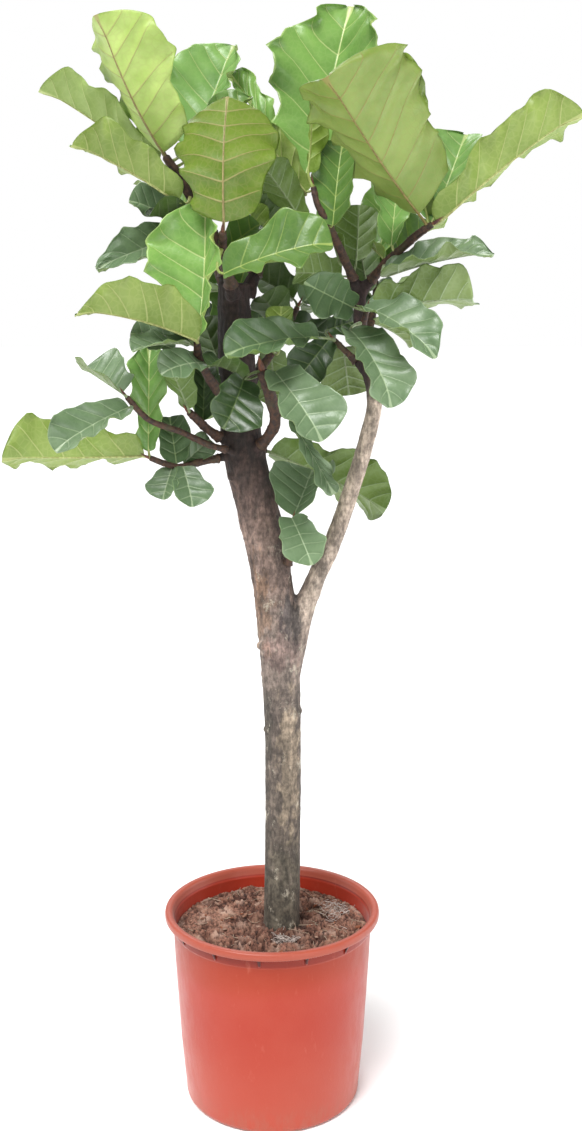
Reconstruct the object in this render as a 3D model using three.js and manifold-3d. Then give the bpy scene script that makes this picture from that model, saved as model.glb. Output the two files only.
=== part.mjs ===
// Fiddle leaf fig in a nursery pot: a bare forked trunk that carries leafy
// twigs, standing in bark-and-coir soil in a plastic pot with a turned-down rim.
// Millimetres, +Z up. The origin is the centre of the pot's underside and the
// front of the plant faces -Y.
import * as THREE from "three";
import { mergeVertices } from "three/addons/utils/BufferGeometryUtils.js";
import Module from "manifold-3d";

// Pot
const POT_HEIGHT = 312;
const RIM_RADIUS = 170;
const RIM_DEPTH = 12;
const RIM_SKIRT = 3.2;
const RIM_TOP = 4.4; // thickness of the rim's flat top
const WALL = 3.2;
const FLOOR = 4;
const BASE_RADIUS = 129;
const BODY = [[138.9, 8], [146.8, 97], [154.8, 236], [157, 290]]; // outside of the wall: radius, height
const POT_SEGMENTS = 34;
const RIBS = 14;
const RIB_TURN = -6.2; // degrees from the front to the nearest rib
const RIB_DROP = 17; // how far a rib runs down the wall from the rim
const RIB_RADII = [7, 1.6]; // at its head and its foot
const RIB_FLATNESS = 0.32; // its width as a share of its depth
const RIB_CIRCLE = 158.6;
const DRAIN_HOLES = 6;
const DRAIN_RADIUS = 7;
const DRAIN_CIRCLE = 92;
const DRAIN_TURN = 30;

// Soil
const SOIL_TOP = 279;
const SOIL_GAP = 0.4;
const SOIL_BASE = FLOOR + 0.3;
const SOIL_RINGS = 4;
const MOUND = 7; // the soil is heaped against the trunk
const MOUND_REACH = 51;
// Swells of the soil, each a sine: height, run in x and in y for one radian, start in radians.
const SWELLS = [[1.6, 21, 17, 0.6], [1.6, 21, -17, 0.6], [2.4, 9.5, 13, 0], [1.6, -15, 8, 1.57]];

// Wood
const TRUNK = [
  [14, 0, 150], [15, 0, 270], [17, 0, 420], [17, 0, 600], [13, 0, 720], [0, 0, 850], [-23, 0, 963],
  [-42, 0, 1040], [-47, 0, 1113], [-52, 0, 1216], [-54, 0, 1282],
];
const TRUNK_RADII = [30, 29, 28, 28, 30, 31, 31, 31, 28, 26, 22];
const LIMB = [
  [20, 0, 690], [44, 0, 780], [70, 0, 848], [95, 0, 903], [130, 0, 1009], [152, 0, 1090],
  [153, 0, 1125], [143, 0, 1170], [133, 0, 1216], [131, 0, 1276],
];
const LIMB_RADII = [24, 18, 14, 13.5, 12.5, 11.5, 11, 10.5, 10, 8];
const HOLE_CLEARANCE = 0.7; // round the trunk's foot in the soil
const SEAT_GAP = 0.3;
const COLLAR = 1.35; // a twig's foot is this much thicker than the twig
const TRUNK_SIDES = 10;
const LIMB_SIDES = 7;
const TWIG_SIDES = 5;

// Leaves
const BLADE = 1.2; // thickness
const RIDGE = 1.6; // how far the midrib stands out below the blade
const PETIOLE_RADIUS = 2.3;
const PETIOLE_SIDES = 4;
const PETIOLE_BEND = 25; // the furthest that its control point lies behind the blade
const NARROWEST = 1.5; // half width that a blade keeps at its ends
const WAVES = 2.3; // margin waves along a blade
const WAVE_HEIGHT = 0.03; // as a share of the length
const MARGIN_SHIFT = 0.9; // radians between the waves of the two margins
const LEAF_PHASE = 1.7; // radians from one leaf's waves to the next one's
const TWIG_PHASE = 2.3; // and from one twig's to the next one's
const CUP = 25; // degrees that each half curls up towards its margin
const FOOT_SHARE = 0.16; // of the length, over which the blade's foot rounds out
const WAIST_AT = 0.2; // share of the length where the blade starts to widen
const HEAD_CURVE = 2.6; // how squarely the head rounds off
const RIB_START = 0.08; // share of the length at which the petiole runs in under the blade
const LONG_BLADE = 190; // blades over this length have five rows of faces,
const SHORT_BLADE = 85; // and those under this length have three
const WIDE_BLADE = 105; // blades over this width have four columns of faces
const FIRST_LEAF = 0.04; // a twig bears leaves from this share of its length past its seat
const LAST_LEAF = 0.985; // to this share of its length
const NODE_TESTS = 60; // places tested for the one nearest to a leaf

// Each twig: its axis from inside the wood, its radius at foot and tip, the
// distance from its start at which it parts from the wood, and its leaves.
// Each leaf: where the blade starts, its tip, its width, its roll about the
// midrib, the bend of the midrib, the fold of each half, and departures from
// the usual outline.
const STEMS = {
  stem_top_left: {
    route: [[-54, 0, 1255], [-80, -10, 1344], [-115, -20, 1407], [-149, -30, 1460]],
    girth: [11, 6], seat: 42,
    leaves: [
      [[-151, -35, 1463], [-230, -90, 1637], 174, 18, -25, 22,
       { waist: 0.72, lop: 0.1, shoulder: 0.7, blunt: 0.5 }],
      [[-166, 14, 1450], [-324, -24, 1553], 98, 6, 10, 40],
      [[-129, -60, 1393], [-267, -120, 1466], 98, 25, 15, 28, { waist: 0.72 }],
      [[-121, 40, 1480], [-58, 110, 1638], 112, 18, -20, 20, { lop: -0.34, shoulder: 0.58, waist: 0.7 }],
      [[-141, 30, 1374], [-203, -10, 1400], 66, -60, 20, 20, { waist: 0.8 }],
      [[-105, -26, 1358], [-170, -62, 1376], 76, 15, 20, 20],
      [[-125, 0, 1350], [-244, -72, 1302], 86, -52, 20, 25, { shoulder: 0.4, blunt: 1, lop: -0.15 }],
      [[-108, 0, 1468], [-30, 30, 1550], 75, 30, 10, 20],
    ],
  },
  stem_left: {
    route: [[-50, -20, 1095], [-81, -60, 1138], [-99, -95, 1175], [-101, -118, 1200]],
    girth: [8, 5], seat: 22,
    leaves: [
      [[-99, -120, 1207], [-91, -64, 1400], 128, -20, -20, 25,
       { waist: 0.5, lop: -0.34, shoulder: 0.55, blunt: 0.95 }],
      [[-100, -125, 1202], [-256, -195, 1242], 120, 28, 25, 25, { waist: 0.8, blunt: 1, shoulder: 0.45 }],
      [[-112, -104, 1198], [-186, -160, 1190], 50, -20, 20, 20],
      [[-92, -96, 1170], [-148, -150, 1158], 60, -40, 40, 10],
      [[-136, -72, 1188], [-195, -98, 1212], 60, -60, 20, 20],
      [[-112, -46, 1198], [-158, -30, 1214], 45, -60, 20, 20],
    ],
  },
  stem_front: {
    route: [[-53, -22, 1265], [-64, -75, 1315], [-64, -110, 1350]],
    girth: [9, 5], seat: 22,
    leaves: [
      [[-62, -115, 1362], [-58, -58, 1530], 160, 180, -70, 16,
       { waist: 0.5, shoulder: 0.93, blunt: 0.22 }],
      [[-62, -132, 1292], [86, -155, 1334], 108, 50, 25, 15],
      [[-64, -70, 1325], [-14, -56, 1364], 66, 40, 10, 15],
    ],
  },
  stem_centre: {
    route: [[-36, 10, 1266], [-8, 30, 1332], [21, 40, 1383], [40, 40, 1420]],
    girth: [10, 5], seat: 34,
    leaves: [
      [[51, 35, 1439], [117, 110, 1694], 190, 20, -15, 22,
       { waist: 0.66, blunt: 0.75, shoulder: 0.66, lop: -0.05 }],
      [[52, 14, 1413], [-22, 0, 1499], 60, 55, 15, 20],
      [[47, -10, 1369], [-11, -40, 1446], 70, 50, 30, 20],
      [[34, 46, 1444], [-64, 120, 1600], 52, -30, 10, 30],
      [[74, -6, 1428], [100, -6, 1470], 38, -30, 20, 30],
      [[-14, 15, 1325], [-34, 5, 1398], 64, 0, 10, 20],
      [[12, 20, 1350], [-22, 0, 1405], 62, 30, 10, 20],
    ],
  },
  stem_right_inner: {
    route: [[129, 0, 1272], [109, -30, 1312], [87, -50, 1356], [68, -60, 1389], [61, -60, 1415]],
    girth: [7, 4], seat: 24,
    leaves: [
      [[54, -62, 1434], [58, -45, 1548], 58, 160, 20, 40],
      [[89, -60, 1361], [104, -15, 1482], 100, 0, 10, 25, { lop: 0.12 }],
      [[126, 14, 1316], [128, -10, 1394], 72, 0, -15, 15, { waist: 0.8 }],
      [[104, 14, 1294], [36, -8, 1298], 84, 50, 15, 15],
      [[100, -26, 1310], [84, -28, 1352], 46, 0, 15, 25],
    ],
  },
  stem_right_outer: {
    route: [[134, 0, 1272], [164, -30, 1308], [185, -50, 1328], [210, -70, 1350], [228, -80, 1362]],
    girth: [7, 5], seat: 24,
    leaves: [
      [[208, -85, 1375], [74, -226, 1536], 184, 29, -20, 25,
       { waist: 0.76, lop: -0.22, shoulder: 0.78, blunt: 0.42 }],
      [[235, -80, 1362], [423, -120, 1508], 110, -35, 14, 25],
      [[229, -60, 1366], [285, 30, 1500], 100, 10, -10, 20],
      [[223, -55, 1374], [182, -100, 1585], 48, 15, -20, 15, { waist: 0.8 }],
      [[173, -45, 1334], [188, 20, 1445], 80, 0, 10, 30],
      [[168, 14, 1318], [104, 90, 1376], 48, 40, 10, 20],
      [[163, -60, 1291], [302, -150, 1320], 78, 26, 14, 22, { waist: 0.95, shoulder: 0.5, blunt: 1 }],
    ],
  },
  stem_right_side: {
    route: [[131, -6, 1190], [134, -35, 1218], [138, -55, 1245]],
    girth: [6, 4], seat: 18,
    leaves: [
      [[118, -62, 1248], [50, -120, 1280], 84, -105, -15, 25],
      [[134, -62, 1248], [228, -160, 1182], 92, 20, 30, 20, { waist: 0.8, blunt: 1, shoulder: 0.55 }],
      [[114, -60, 1216], [170, -150, 1113], 86, 5, 40, 15, { waist: 0.85 }],
      [[146, -60, 1247], [281, -140, 1259], 102, -45, 10, 25],
    ],
  },
  stem_right_low: {
    route: [[146, 0, 1150], [121, 10, 1175], [94, 10, 1201]],
    girth: [6, 4], seat: 28,
    leaves: [
      [[108, 25, 1190], [118, 35, 1118], 96, -40, 20, 15],
      [[86, 4, 1202], [36, -26, 1140], 74, -60, 20, 20],
      [[70, -58, 1206], [-58, -160, 1186], 80, -42, 20, 20],
      [[84, 24, 1216], [126, 38, 1228], 56, 75, 20, 20],
    ],
  },
  stem_trunk_front: {
    route: [[-24, -14, 1036], [6, -52, 1080], [0, -80, 1125], [-11, -90, 1160]],
    girth: [8, 9], seat: 20,
    leaves: [
      [[7, -97, 1158], [73, -172, 1069], 106, 22, 20, 20, { shoulder: 0.75 }],
      [[30, -64, 1090], [92, -96, 984], 35, 60, 20, 30],
      [[-37, -110, 1147], [-62, -165, 1084], 92, -50, 20, 20],
      [[-38, -100, 1150], [-84, -140, 1170], 70, 0, 30, 20],
    ],
  },
  stem_fork: {
    route: [[22, -14, 847], [30, -40, 901], [33, -48, 938]],
    girth: [6, 4], seat: 26,
    leaves: [
      [[34, -50, 946], [62, 0, 1010], 146, 0, -10, 25, { lop: 0.14 }],
      [[31, -57, 944], [60, -118, 886], 82, 20, 25, 25, { lop: 0.15 }],
    ],
  },
  stem_trunk_right: {
    route: [[-36, 10, 1040], [-20, 34, 1036], [-8, 42, 1033]],
    girth: [5, 4], seat: 26,
    leaves: [
      [[-2, 42, 1031], [177, 60, 940], 116, -62, 22, 28],
    ],
  },
  stem_low_left_upper: {
    route: [[-52, -24, 1038], [-90, -58, 1052], [-128, -68, 1071], [-173, -85, 1090], [-204, -95, 1124]],
    girth: [5, 4], seat: 20,
    leaves: [
      [[-209, -96, 1129], [-269, -56, 1162], 108, -5, 0, 25],
      [[-199, -97, 1108], [-292, -180, 1056], 80, -30, 20, 20],
    ],
  },
  stem_low_left: {
    route: [[-62, -12, 1031], [-104, -35, 1024], [-137, -50, 1019], [-176, -60, 1033]],
    girth: [6, 4], seat: 18,
    leaves: [
      [[-183, -60, 1036], [-378, -120, 1040], 122, 52, -5, 25, { blunt: 0.75 }],
      [[-178, -54, 1042], [-176, -34, 1192], 66, 10, 10, 25],
      [[-138, -46, 1023], [-150, -14, 1090], 60, -10, 10, 20, { waist: 0.85 }],
      [[-128, -34, 1023], [-90, -8, 1056], 48, 65, 10, 20],
      [[-144, -50, 1017], [-156, -75, 974], 60, 0, 10, 15],
      [[-128, -52, 1019], [-112, -85, 965], 68, 0, 10, 15],
    ],
  },
  stem_low_left_short: {
    route: [[-46, -6, 1046], [-84, -32, 1066], [-117, -66, 1100]],
    girth: [8, 5.5], seat: 38,
    leaves: [
      [[-117, -72, 1104], [-143, -110, 1172], 62, 18, 10, 20],
      [[-98, -46, 1086], [-98, 0, 1160], 56, 0, 10, 20],
    ],
  },
  stem_inner: {
    route: [[-30, 14, 1140], [0, 32, 1180], [25, 40, 1220], [40, 42, 1250]],
    girth: [7, 4], seat: 26,
    leaves: [
      [[34, 46, 1262], [-28, 50, 1296], 92, 45, 20, 15],
      [[48, 48, 1256], [98, 86, 1296], 76, 45, 20, 15],
      [[22, 26, 1218], [-14, 8, 1266], 72, 45, 20, 15],
      [[32, 36, 1228], [100, 74, 1182], 82, 35, 25, 15],
      [[0, 40, 1186], [4, 66, 1102], 80, 0, 20, 15],
      [[14, -34, 1196], [16, -48, 1250], 48, 0, 20, 20],
    ],
  },
  stem_back_top: {
    route: [[-52, 22, 1225], [-75, 65, 1290], [-95, 105, 1345], [-100, 130, 1390]],
    girth: [9, 5], seat: 26,
    leaves: [
      [[-100, 136, 1398], [-68, 200, 1562], 115, 0, -10, 20],
      [[-106, 130, 1392], [-200, 215, 1440], 100, -20, 15, 20],
      [[-94, 132, 1385], [40, 190, 1440], 100, 10, 15, 20],
      [[-98, 118, 1350], [-190, 190, 1330], 95, 0, 30, 20],
      [[-80, 90, 1318], [0, 190, 1345], 95, 0, 30, 20],
      [[-72, 60, 1275], [-150, 110, 1250], 80, 0, 30, 20],
    ],
  },
  stem_back_low: {
    route: [[-44, 26, 1110], [-60, 75, 1135], [-70, 120, 1165], [-70, 155, 1205]],
    girth: [8, 5], seat: 26,
    leaves: [
      [[-70, 160, 1212], [-42, 240, 1326], 116, 0, 0, 20],
      [[-76, 156, 1208], [-180, 215, 1230], 105, -35, 30, 20],
      [[-64, 156, 1205], [50, 230, 1215], 95, 10, 30, 20],
      [[-68, 125, 1165], [-150, 200, 1130], 85, 35, 30, 20],
      [[-60, 100, 1150], [30, 160, 1120], 85, 0, 30, 20],
      [[-55, 70, 1130], [-112, 120, 1078], 78, 35, 30, 20],
      [[-74, 66, 1150], [-104, 50, 1234], 64, 60, 10, 20],
    ],
  },
  stem_back_right: {
    route: [[140, 10, 1185], [150, 50, 1225], [160, 95, 1265], [160, 125, 1310]],
    girth: [7, 4], seat: 24,
    leaves: [
      [[160, 130, 1318], [215, 190, 1468], 105, 0, 0, 20],
      [[154, 128, 1312], [40, 190, 1370], 95, -10, 20, 20],
      [[166, 126, 1310], [270, 200, 1380], 95, 10, 20, 20],
      [[156, 105, 1275], [235, 190, 1260], 90, 0, 30, 20],
      [[152, 85, 1250], [60, 150, 1245], 90, -30, 30, 20],
      [[148, 55, 1228], [215, 90, 1190], 75, 0, 30, 20],
      [[148, 88, 1272], [132, 72, 1348], 66, 45, 10, 20],
    ],
  },
};

const wasm = await Module();
wasm.setup();

const vector = (p) => new THREE.Vector3(...p);
const radians = THREE.MathUtils.degToRad;
const ease = (x) => THREE.MathUtils.smoothstep(x, 0, 1);
const smoothCurve = (points) => new THREE.CatmullRomCurve3(points.map(vector), false, "catmullrom", 0.5);

// A closed geometry as a solid.
function solid(geometry) {
  geometry.deleteAttribute("normal");
  geometry.deleteAttribute("uv");
  const merged = mergeVertices(geometry, 1e-4);
  return new wasm.Manifold(
    new wasm.Mesh({
      numProp: 3,
      vertProperties: new Float32Array(merged.attributes.position.array),
      triVerts: new Uint32Array(merged.index.array),
    }),
  );
}

// A solid as a geometry.
function geometryOf(body) {
  const mesh = body.getMesh();
  const geometry = new THREE.BufferGeometry();
  const places = new Float32Array(mesh.vertProperties);
  geometry.setAttribute("position", new THREE.BufferAttribute(places, 3));
  geometry.setIndex(new THREE.BufferAttribute(new Uint32Array(mesh.triVerts), 1));
  geometry.computeVertexNormals();
  return geometry;
}

// Value at share t of a list of evenly spaced values.
function along(values, t) {
  const x = t * (values.length - 1);
  const i = Math.min(Math.floor(x), values.length - 2);
  return values[i] + (values[i + 1] - values[i]) * (x - i);
}

// Share of a curve's points at a distance along it.
const shareAt = (curve, distance) => curve.getUtoTmapping(0, distance);

// A closed tube about a curve from t0 to t1, its radius a function of t. The rings of an
// upright cylinder are carried to frames that turn as little as they can along the curve.
function tube(curve, t0, t1, radiusAt, sides, steps) {
  const geometry = new THREE.CylinderGeometry(1, 1, 1, sides, steps);
  const place = geometry.attributes.position;
  const frames = [];
  let side = new THREE.Vector3(0, 1, 0);
  if (side.clone().cross(curve.getTangent(t0)).length() < 0.45) side.set(1, 0, 0);
  for (let i = 0; i <= steps; i++) {
    const t = t0 + ((t1 - t0) * i) / steps;
    const tangent = curve.getTangent(t);
    side = side.clone().addScaledVector(tangent, -side.dot(tangent)).normalize();
    const up = tangent.clone().cross(side);
    frames.push({ centre: curve.getPoint(t), side, up, radius: radiusAt(t) });
  }
  for (let i = 0; i < place.count; i++) {
    const frame = frames[Math.round((place.getY(i) + 0.5) * steps)];
    const p = frame.centre.clone();
    p.addScaledVector(frame.side, -place.getX(i) * frame.radius);
    p.addScaledVector(frame.up, place.getZ(i) * frame.radius);
    place.setXYZ(i, p.x, p.y, p.z);
  }
  return solid(geometry);
}

// Share of a blade's half width at share s of its length: a narrow foot, a
// waist that grows to the shoulder, a broad blunt head.
function halfWidth(s, waist, blunt, shoulder) {
  const foot = Math.sqrt(1 - (1 - Math.min(1, s / FOOT_SHARE)) ** 2);
  const grow = waist + (1 - waist) * ease((s - WAIST_AT) / (shoulder - WAIST_AT));
  const past = Math.max(0, s - shoulder) / (1 - shoulder);
  return foot * grow * Math.max(0, 1 - past ** HEAD_CURVE) ** blunt;
}

// Points of a blade's middle surface. The midrib is an arc from root to tip;
// each half rises from it at the fold angle and curls by the cup angle, and
// its margin waves.
function bladeSurface([rootAt, tipAt, width, roll, arch, fold, shape = {}], phase) {
  const { waist = 0.62, blunt = 0.55, lop = 0, shoulder = 0.7 } = shape;
  const root = vector(rootAt);
  const chord = vector(tipAt).sub(root);
  const length = chord.length();
  const ahead = chord.normalize();
  const level = new THREE.Vector3(0, 0, 1).addScaledVector(ahead, -ahead.z).normalize();
  const across = ahead.clone().cross(level);
  const turn = radians(roll);
  const up = level.clone().multiplyScalar(Math.cos(turn)).addScaledVector(across, Math.sin(turn));
  const aside = across.multiplyScalar(Math.cos(turn)).addScaledVector(level, -Math.sin(turn));
  const bend = radians(Math.abs(arch) > 0.5 ? arch : 0.5);
  const span = 2 * Math.sin(bend / 2);
  const foldAngle = radians(fold);
  const cup = radians(CUP);
  const at = (s, v) => {
    const slope = bend * (0.5 - s);
    const q = Math.abs(v);
    const half = Math.sign(v);
    const run = (length * (span / 2 - Math.sin(slope))) / span;
    const sag = (length * (Math.cos(slope) - Math.cos(bend / 2))) / span;
    const over = up.clone().multiplyScalar(Math.cos(slope)).addScaledVector(ahead, -Math.sin(slope));
    const full = halfWidth(s, waist, blunt, shoulder);
    const reach = Math.max((full * width) / 2, NARROWEST) * (1 + lop * half);
    const tilt = foldAngle + cup * q;
    const lateral = (reach * (Math.sin(tilt) - Math.sin(foldAngle))) / cup;
    const rise = (reach * (Math.cos(foldAngle) - Math.cos(tilt))) / cup;
    const swing = Math.sin(2 * Math.PI * WAVES * s + phase + MARGIN_SHIFT * half);
    const wave = WAVE_HEIGHT * length * q ** 1.6 * swing * Math.min(1, full * 1.5);
    const point = root.clone().addScaledVector(ahead, run).addScaledVector(up, sag);
    point.addScaledVector(aside, half * lateral).addScaledVector(over, rise + wave);
    const lean = q ? tilt : 0;
    const normal = over.multiplyScalar(Math.cos(lean)).addScaledVector(aside, -half * Math.sin(lean));
    return { point, normal };
  };
  const start = ahead.clone().multiplyScalar(Math.cos(bend / 2)).addScaledVector(up, Math.sin(bend / 2));
  return { at, length, start };
}

// A blade as one thin closed solid, both faces with the same triangles.
function blade(leaf, phase) {
  const surface = bladeSurface(leaf, phase);
  const rows = surface.length > LONG_BLADE ? 5 : surface.length > SHORT_BLADE ? 4 : 3;
  const columns = leaf[2] > WIDE_BLADE ? 4 : 2;
  const points = [];
  for (const face of [0.5, -0.5]) {
    for (let i = 0; i <= rows; i++) {
      for (let j = 0; j <= columns; j++) {
        const s = i / rows;
        const v = (2 * j) / columns - 1;
        const { point, normal } = surface.at(s, v);
        const ridge = face < 0 && v === 0 ? RIDGE * (1 - 0.7 * s) : 0;
        points.push(point.addScaledVector(normal, face * BLADE - ridge));
      }
    }
  }
  const wide = columns + 1;
  const back = wide * (rows + 1);
  const index = [];
  for (let i = 0; i < rows; i++) {
    for (let j = 0; j < columns; j++) {
      const p = i * wide + j;
      const q = p + wide;
      index.push(p, p + 1, q + 1, p, q + 1, q);
      index.push(back + p, back + q + 1, back + p + 1, back + p, back + q, back + q + 1);
    }
  }
  const edge = (p, q) => index.push(p, back + q, q, p, back + p, back + q);
  for (let i = 0; i < rows; i++) {
    edge((i + 1) * wide, i * wide);
    edge(i * wide + columns, (i + 1) * wide + columns);
  }
  for (let j = 0; j < columns; j++) {
    edge(j, j + 1);
    edge(rows * wide + j + 1, rows * wide + j);
  }
  const geometry = new THREE.BufferGeometry().setFromPoints(points).setIndex(index);
  return { body: solid(geometry), surface };
}

// A leaf: its blade and the petiole that sinks into the twig at the point
// nearest to the blade and runs in under the blade's midrib.
function leafSolid(leaf, phase, curve, first) {
  const { body, surface } = blade(leaf, phase);
  const root = vector(leaf[0]);
  let foot = curve.getPoint(first);
  for (let i = 1; i <= NODE_TESTS; i++) {
    const place = curve.getPoint(first + ((LAST_LEAF - first) * i) / NODE_TESTS);
    if (place.distanceTo(root) < foot.distanceTo(root)) foot = place;
  }
  const reach = foot.distanceTo(root);
  const end = surface.at(RIB_START, 0);
  const tip = end.point.addScaledVector(end.normal, -RIDGE);
  const control = root.clone().addScaledVector(surface.start, -Math.min(reach / 2, PETIOLE_BEND));
  const stalk = new THREE.QuadraticBezierCurve3(foot, control, tip);
  const steps = reach > 45 ? 3 : reach > 16 ? 2 : 1;
  return body.add(tube(stalk, 0, 1, (t) => PETIOLE_RADIUS * (1.15 - 0.25 * t), PETIOLE_SIDES, steps));
}

const group = new THREE.Group();
function addPart(name, body, color, roughness) {
  const mesh = new THREE.Mesh(
    geometryOf(body),
    new THREE.MeshStandardMaterial({ color, roughness, metalness: 0 }),
  );
  mesh.name = name;
  group.add(mesh);
}

// A shape turned about Z from points of radius and height.
function turned(profile) {
  const points = profile.map(([r, z]) => new THREE.Vector2(r, z));
  return new THREE.LatheGeometry(points, POT_SEGMENTS).rotateX(Math.PI / 2);
}

// Pot: one turned profile, up the outside, over the rim and down the inside.
// The rim turns down outside the wall and is open below. Ribs stand under it,
// and drain holes go through the floor.
function makePot() {
  const lip = POT_HEIGHT - RIM_DEPTH;
  const skirt = RIM_RADIUS - RIM_SKIRT;
  const wallInside = BODY.map(([r, z]) => [r - WALL, z]).reverse();
  const profile = [
    [0, 0], [BASE_RADIUS, 0], ...BODY.slice(0, -1), [157, lip + 2],
    [160, POT_HEIGHT - RIM_TOP], [skirt - 1, POT_HEIGHT - RIM_TOP - 0.6],
    [skirt - 0.6, lip], [RIM_RADIUS - 0.6, lip], [RIM_RADIUS, lip + 3],
    [RIM_RADIUS, POT_HEIGHT - 5], [RIM_RADIUS - 4, POT_HEIGHT],
    [160, POT_HEIGHT], [155.2, POT_HEIGHT - 6], ...wallInside,
    [BASE_RADIUS - 1, FLOOR], [0, FLOOR],
  ];
  let pot = solid(turned(profile));
  for (let i = 0; i < RIBS; i++) {
    const rib = new THREE.CylinderGeometry(...RIB_RADII, RIB_DROP, 4, 1).rotateX(Math.PI / 2);
    rib.scale(RIB_FLATNESS, 1, 1).translate(0, -RIB_CIRCLE, lip - RIB_DROP / 2);
    pot = pot.add(solid(rib.rotateZ(radians(RIB_TURN + (360 / RIBS) * i))));
  }
  for (let i = 0; i < DRAIN_HOLES; i++) {
    const hole = new THREE.CylinderGeometry(DRAIN_RADIUS, DRAIN_RADIUS, 4 * FLOOR, 8);
    hole.rotateX(Math.PI / 2).translate(DRAIN_CIRCLE, 0, 0);
    pot = pot.subtract(solid(hole.rotateZ(radians(DRAIN_TURN + (360 / DRAIN_HOLES) * i))));
  }
  return pot;
}

// Radius of the soil at a height: the wall's inside less a small gap.
function soilRadius(z) {
  const above = BODY.findIndex(([, height]) => height >= z);
  const [[r0, z0], [r1, z1]] = BODY.slice(above - 1, above + 1);
  return r0 + ((r1 - r0) * (z - z0)) / (z1 - z0) - WALL - SOIL_GAP;
}

// Height of the soil's surface: crossed sines and a mound about the trunk, which
// die out at the wall.
function soilHeight(x, y) {
  const [footX, footY] = TRUNK[0];
  let lift = MOUND * Math.exp(-((x - footX) ** 2 + (y - footY) ** 2) / MOUND_REACH ** 2);
  for (const [height, runX, runY, start] of SWELLS)
    lift += height * Math.sin(x / runX + y / runY + start);
  return SOIL_TOP + lift * (1 - (Math.hypot(x, y) / soilRadius(SOIL_TOP)) ** 8);
}

// Soil: it fills the pot to its surface, with a hole for the trunk's foot.
function makeSoil() {
  const profile = [[0, SOIL_BASE], [BASE_RADIUS - 3, SOIL_BASE], [BASE_RADIUS + 1.5, SOIL_BASE + 2.3]];
  for (const z of [BODY[1][1], BODY[2][1], SOIL_TOP]) profile.push([soilRadius(z), z]);
  for (let i = SOIL_RINGS - 1; i >= 0; i--)
    profile.push([(soilRadius(SOIL_TOP) * i) / SOIL_RINGS, SOIL_TOP]);
  const shape = turned(profile);
  const place = shape.attributes.position;
  for (let i = 0; i < place.count; i++)
    if (place.getZ(i) > SOIL_TOP - 1) place.setZ(i, soilHeight(place.getX(i), place.getY(i)));
  const [[x, y, z], ...above] = TRUNK.slice(0, 4);
  const holeRadii = TRUNK_RADII.slice(0, 4);
  const hole = smoothCurve([[x, y, z - SEAT_GAP], ...above]);
  const radiusAt = (t) => along(holeRadii, t) + HOLE_CLEARANCE;
  return solid(shape).subtract(tube(hole, 0, 1, radiusAt, TRUNK_SIDES, 7));
}

// Each twig's curve, the share of it where it parts from the wood, and its radius.
const stems = Object.entries(STEMS).map(([name, stem], order) => {
  const curve = smoothCurve(stem.route);
  const [foot, tip] = stem.girth;
  return {
    name,
    order,
    leaves: stem.leaves,
    curve,
    seat: shareAt(curve, stem.seat),
    start: shareAt(curve, stem.seat + SEAT_GAP),
    radius: (t) => foot + (tip - foot) * t,
  };
});

// Wood: trunk and side limb in one, with the cut ends and the feet of the twigs.
function makeWood() {
  let wood = tube(smoothCurve(TRUNK), 0, 1, (t) => along(TRUNK_RADII, t), TRUNK_SIDES, 12);
  wood = wood.add(tube(smoothCurve(LIMB), 0, 1, (t) => along(LIMB_RADII, t), LIMB_SIDES, 10));
  for (const { curve, seat, radius } of stems) {
    const collar = (t) => radius(t) * (COLLAR - (COLLAR - 1) * (t / seat));
    wood = wood.add(tube(curve, 0, seat, collar, TWIG_SIDES, 2));
  }
  return wood;
}

// A leafy twig: the twig with its leaves in one solid.
function makeStem({ order, leaves, curve, start, radius }) {
  let stem = tube(curve, start, 1, radius, TWIG_SIDES, 3);
  leaves.forEach((leaf, i) => {
    const phase = LEAF_PHASE * i + TWIG_PHASE * order;
    stem = stem.add(leafSolid(leaf, phase, curve, start + FIRST_LEAF));
  });
  return stem;
}

addPart("pot", makePot(), 0xc9634a, 0.42);
addPart("soil", makeSoil(), 0x6b4a3c, 0.95);
addPart("trunk", makeWood(), 0x75655b, 0.85);
for (const stem of stems) addPart(stem.name, makeStem(stem), 0x5d8a45, 0.45);

export default group;
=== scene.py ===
# Fiddle leaf fig in a nursery pot: leaves, twigs, bark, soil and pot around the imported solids.
# The tables are in millimetres, as in the part's source; everything in the scene is in metres.
import math

import bmesh
import bpy
import numpy as np
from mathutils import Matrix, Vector


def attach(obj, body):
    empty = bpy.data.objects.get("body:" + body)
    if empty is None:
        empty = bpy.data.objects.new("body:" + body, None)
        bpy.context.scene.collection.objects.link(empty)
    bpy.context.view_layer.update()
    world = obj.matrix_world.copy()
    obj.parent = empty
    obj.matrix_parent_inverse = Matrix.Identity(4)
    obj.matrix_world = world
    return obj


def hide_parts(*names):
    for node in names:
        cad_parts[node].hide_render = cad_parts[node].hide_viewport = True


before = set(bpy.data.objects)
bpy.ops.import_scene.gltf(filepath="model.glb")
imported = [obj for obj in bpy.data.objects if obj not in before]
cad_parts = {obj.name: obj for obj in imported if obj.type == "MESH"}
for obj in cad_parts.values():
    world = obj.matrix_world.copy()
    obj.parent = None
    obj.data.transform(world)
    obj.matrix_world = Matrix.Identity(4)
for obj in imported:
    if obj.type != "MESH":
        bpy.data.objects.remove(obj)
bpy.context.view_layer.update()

mm = 0.001
fullTurn = 2 * math.pi
scene = bpy.context.scene


def addObject(name, data):
    made = bpy.data.objects.new(name, data)
    scene.collection.objects.link(made)
    return made


# Colour given as sRGB 0-255, in linear light.
def linear(rgb):
    c = np.asarray(rgb, float) / 255.0
    return np.where(c <= 0.04045, c / 12.92, ((c + 0.055) / 1.055) ** 2.4)


def smoothStep(x):
    x = np.clip(x, 0.0, 1.0)
    return x * x * (3.0 - 2.0 * x)


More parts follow.
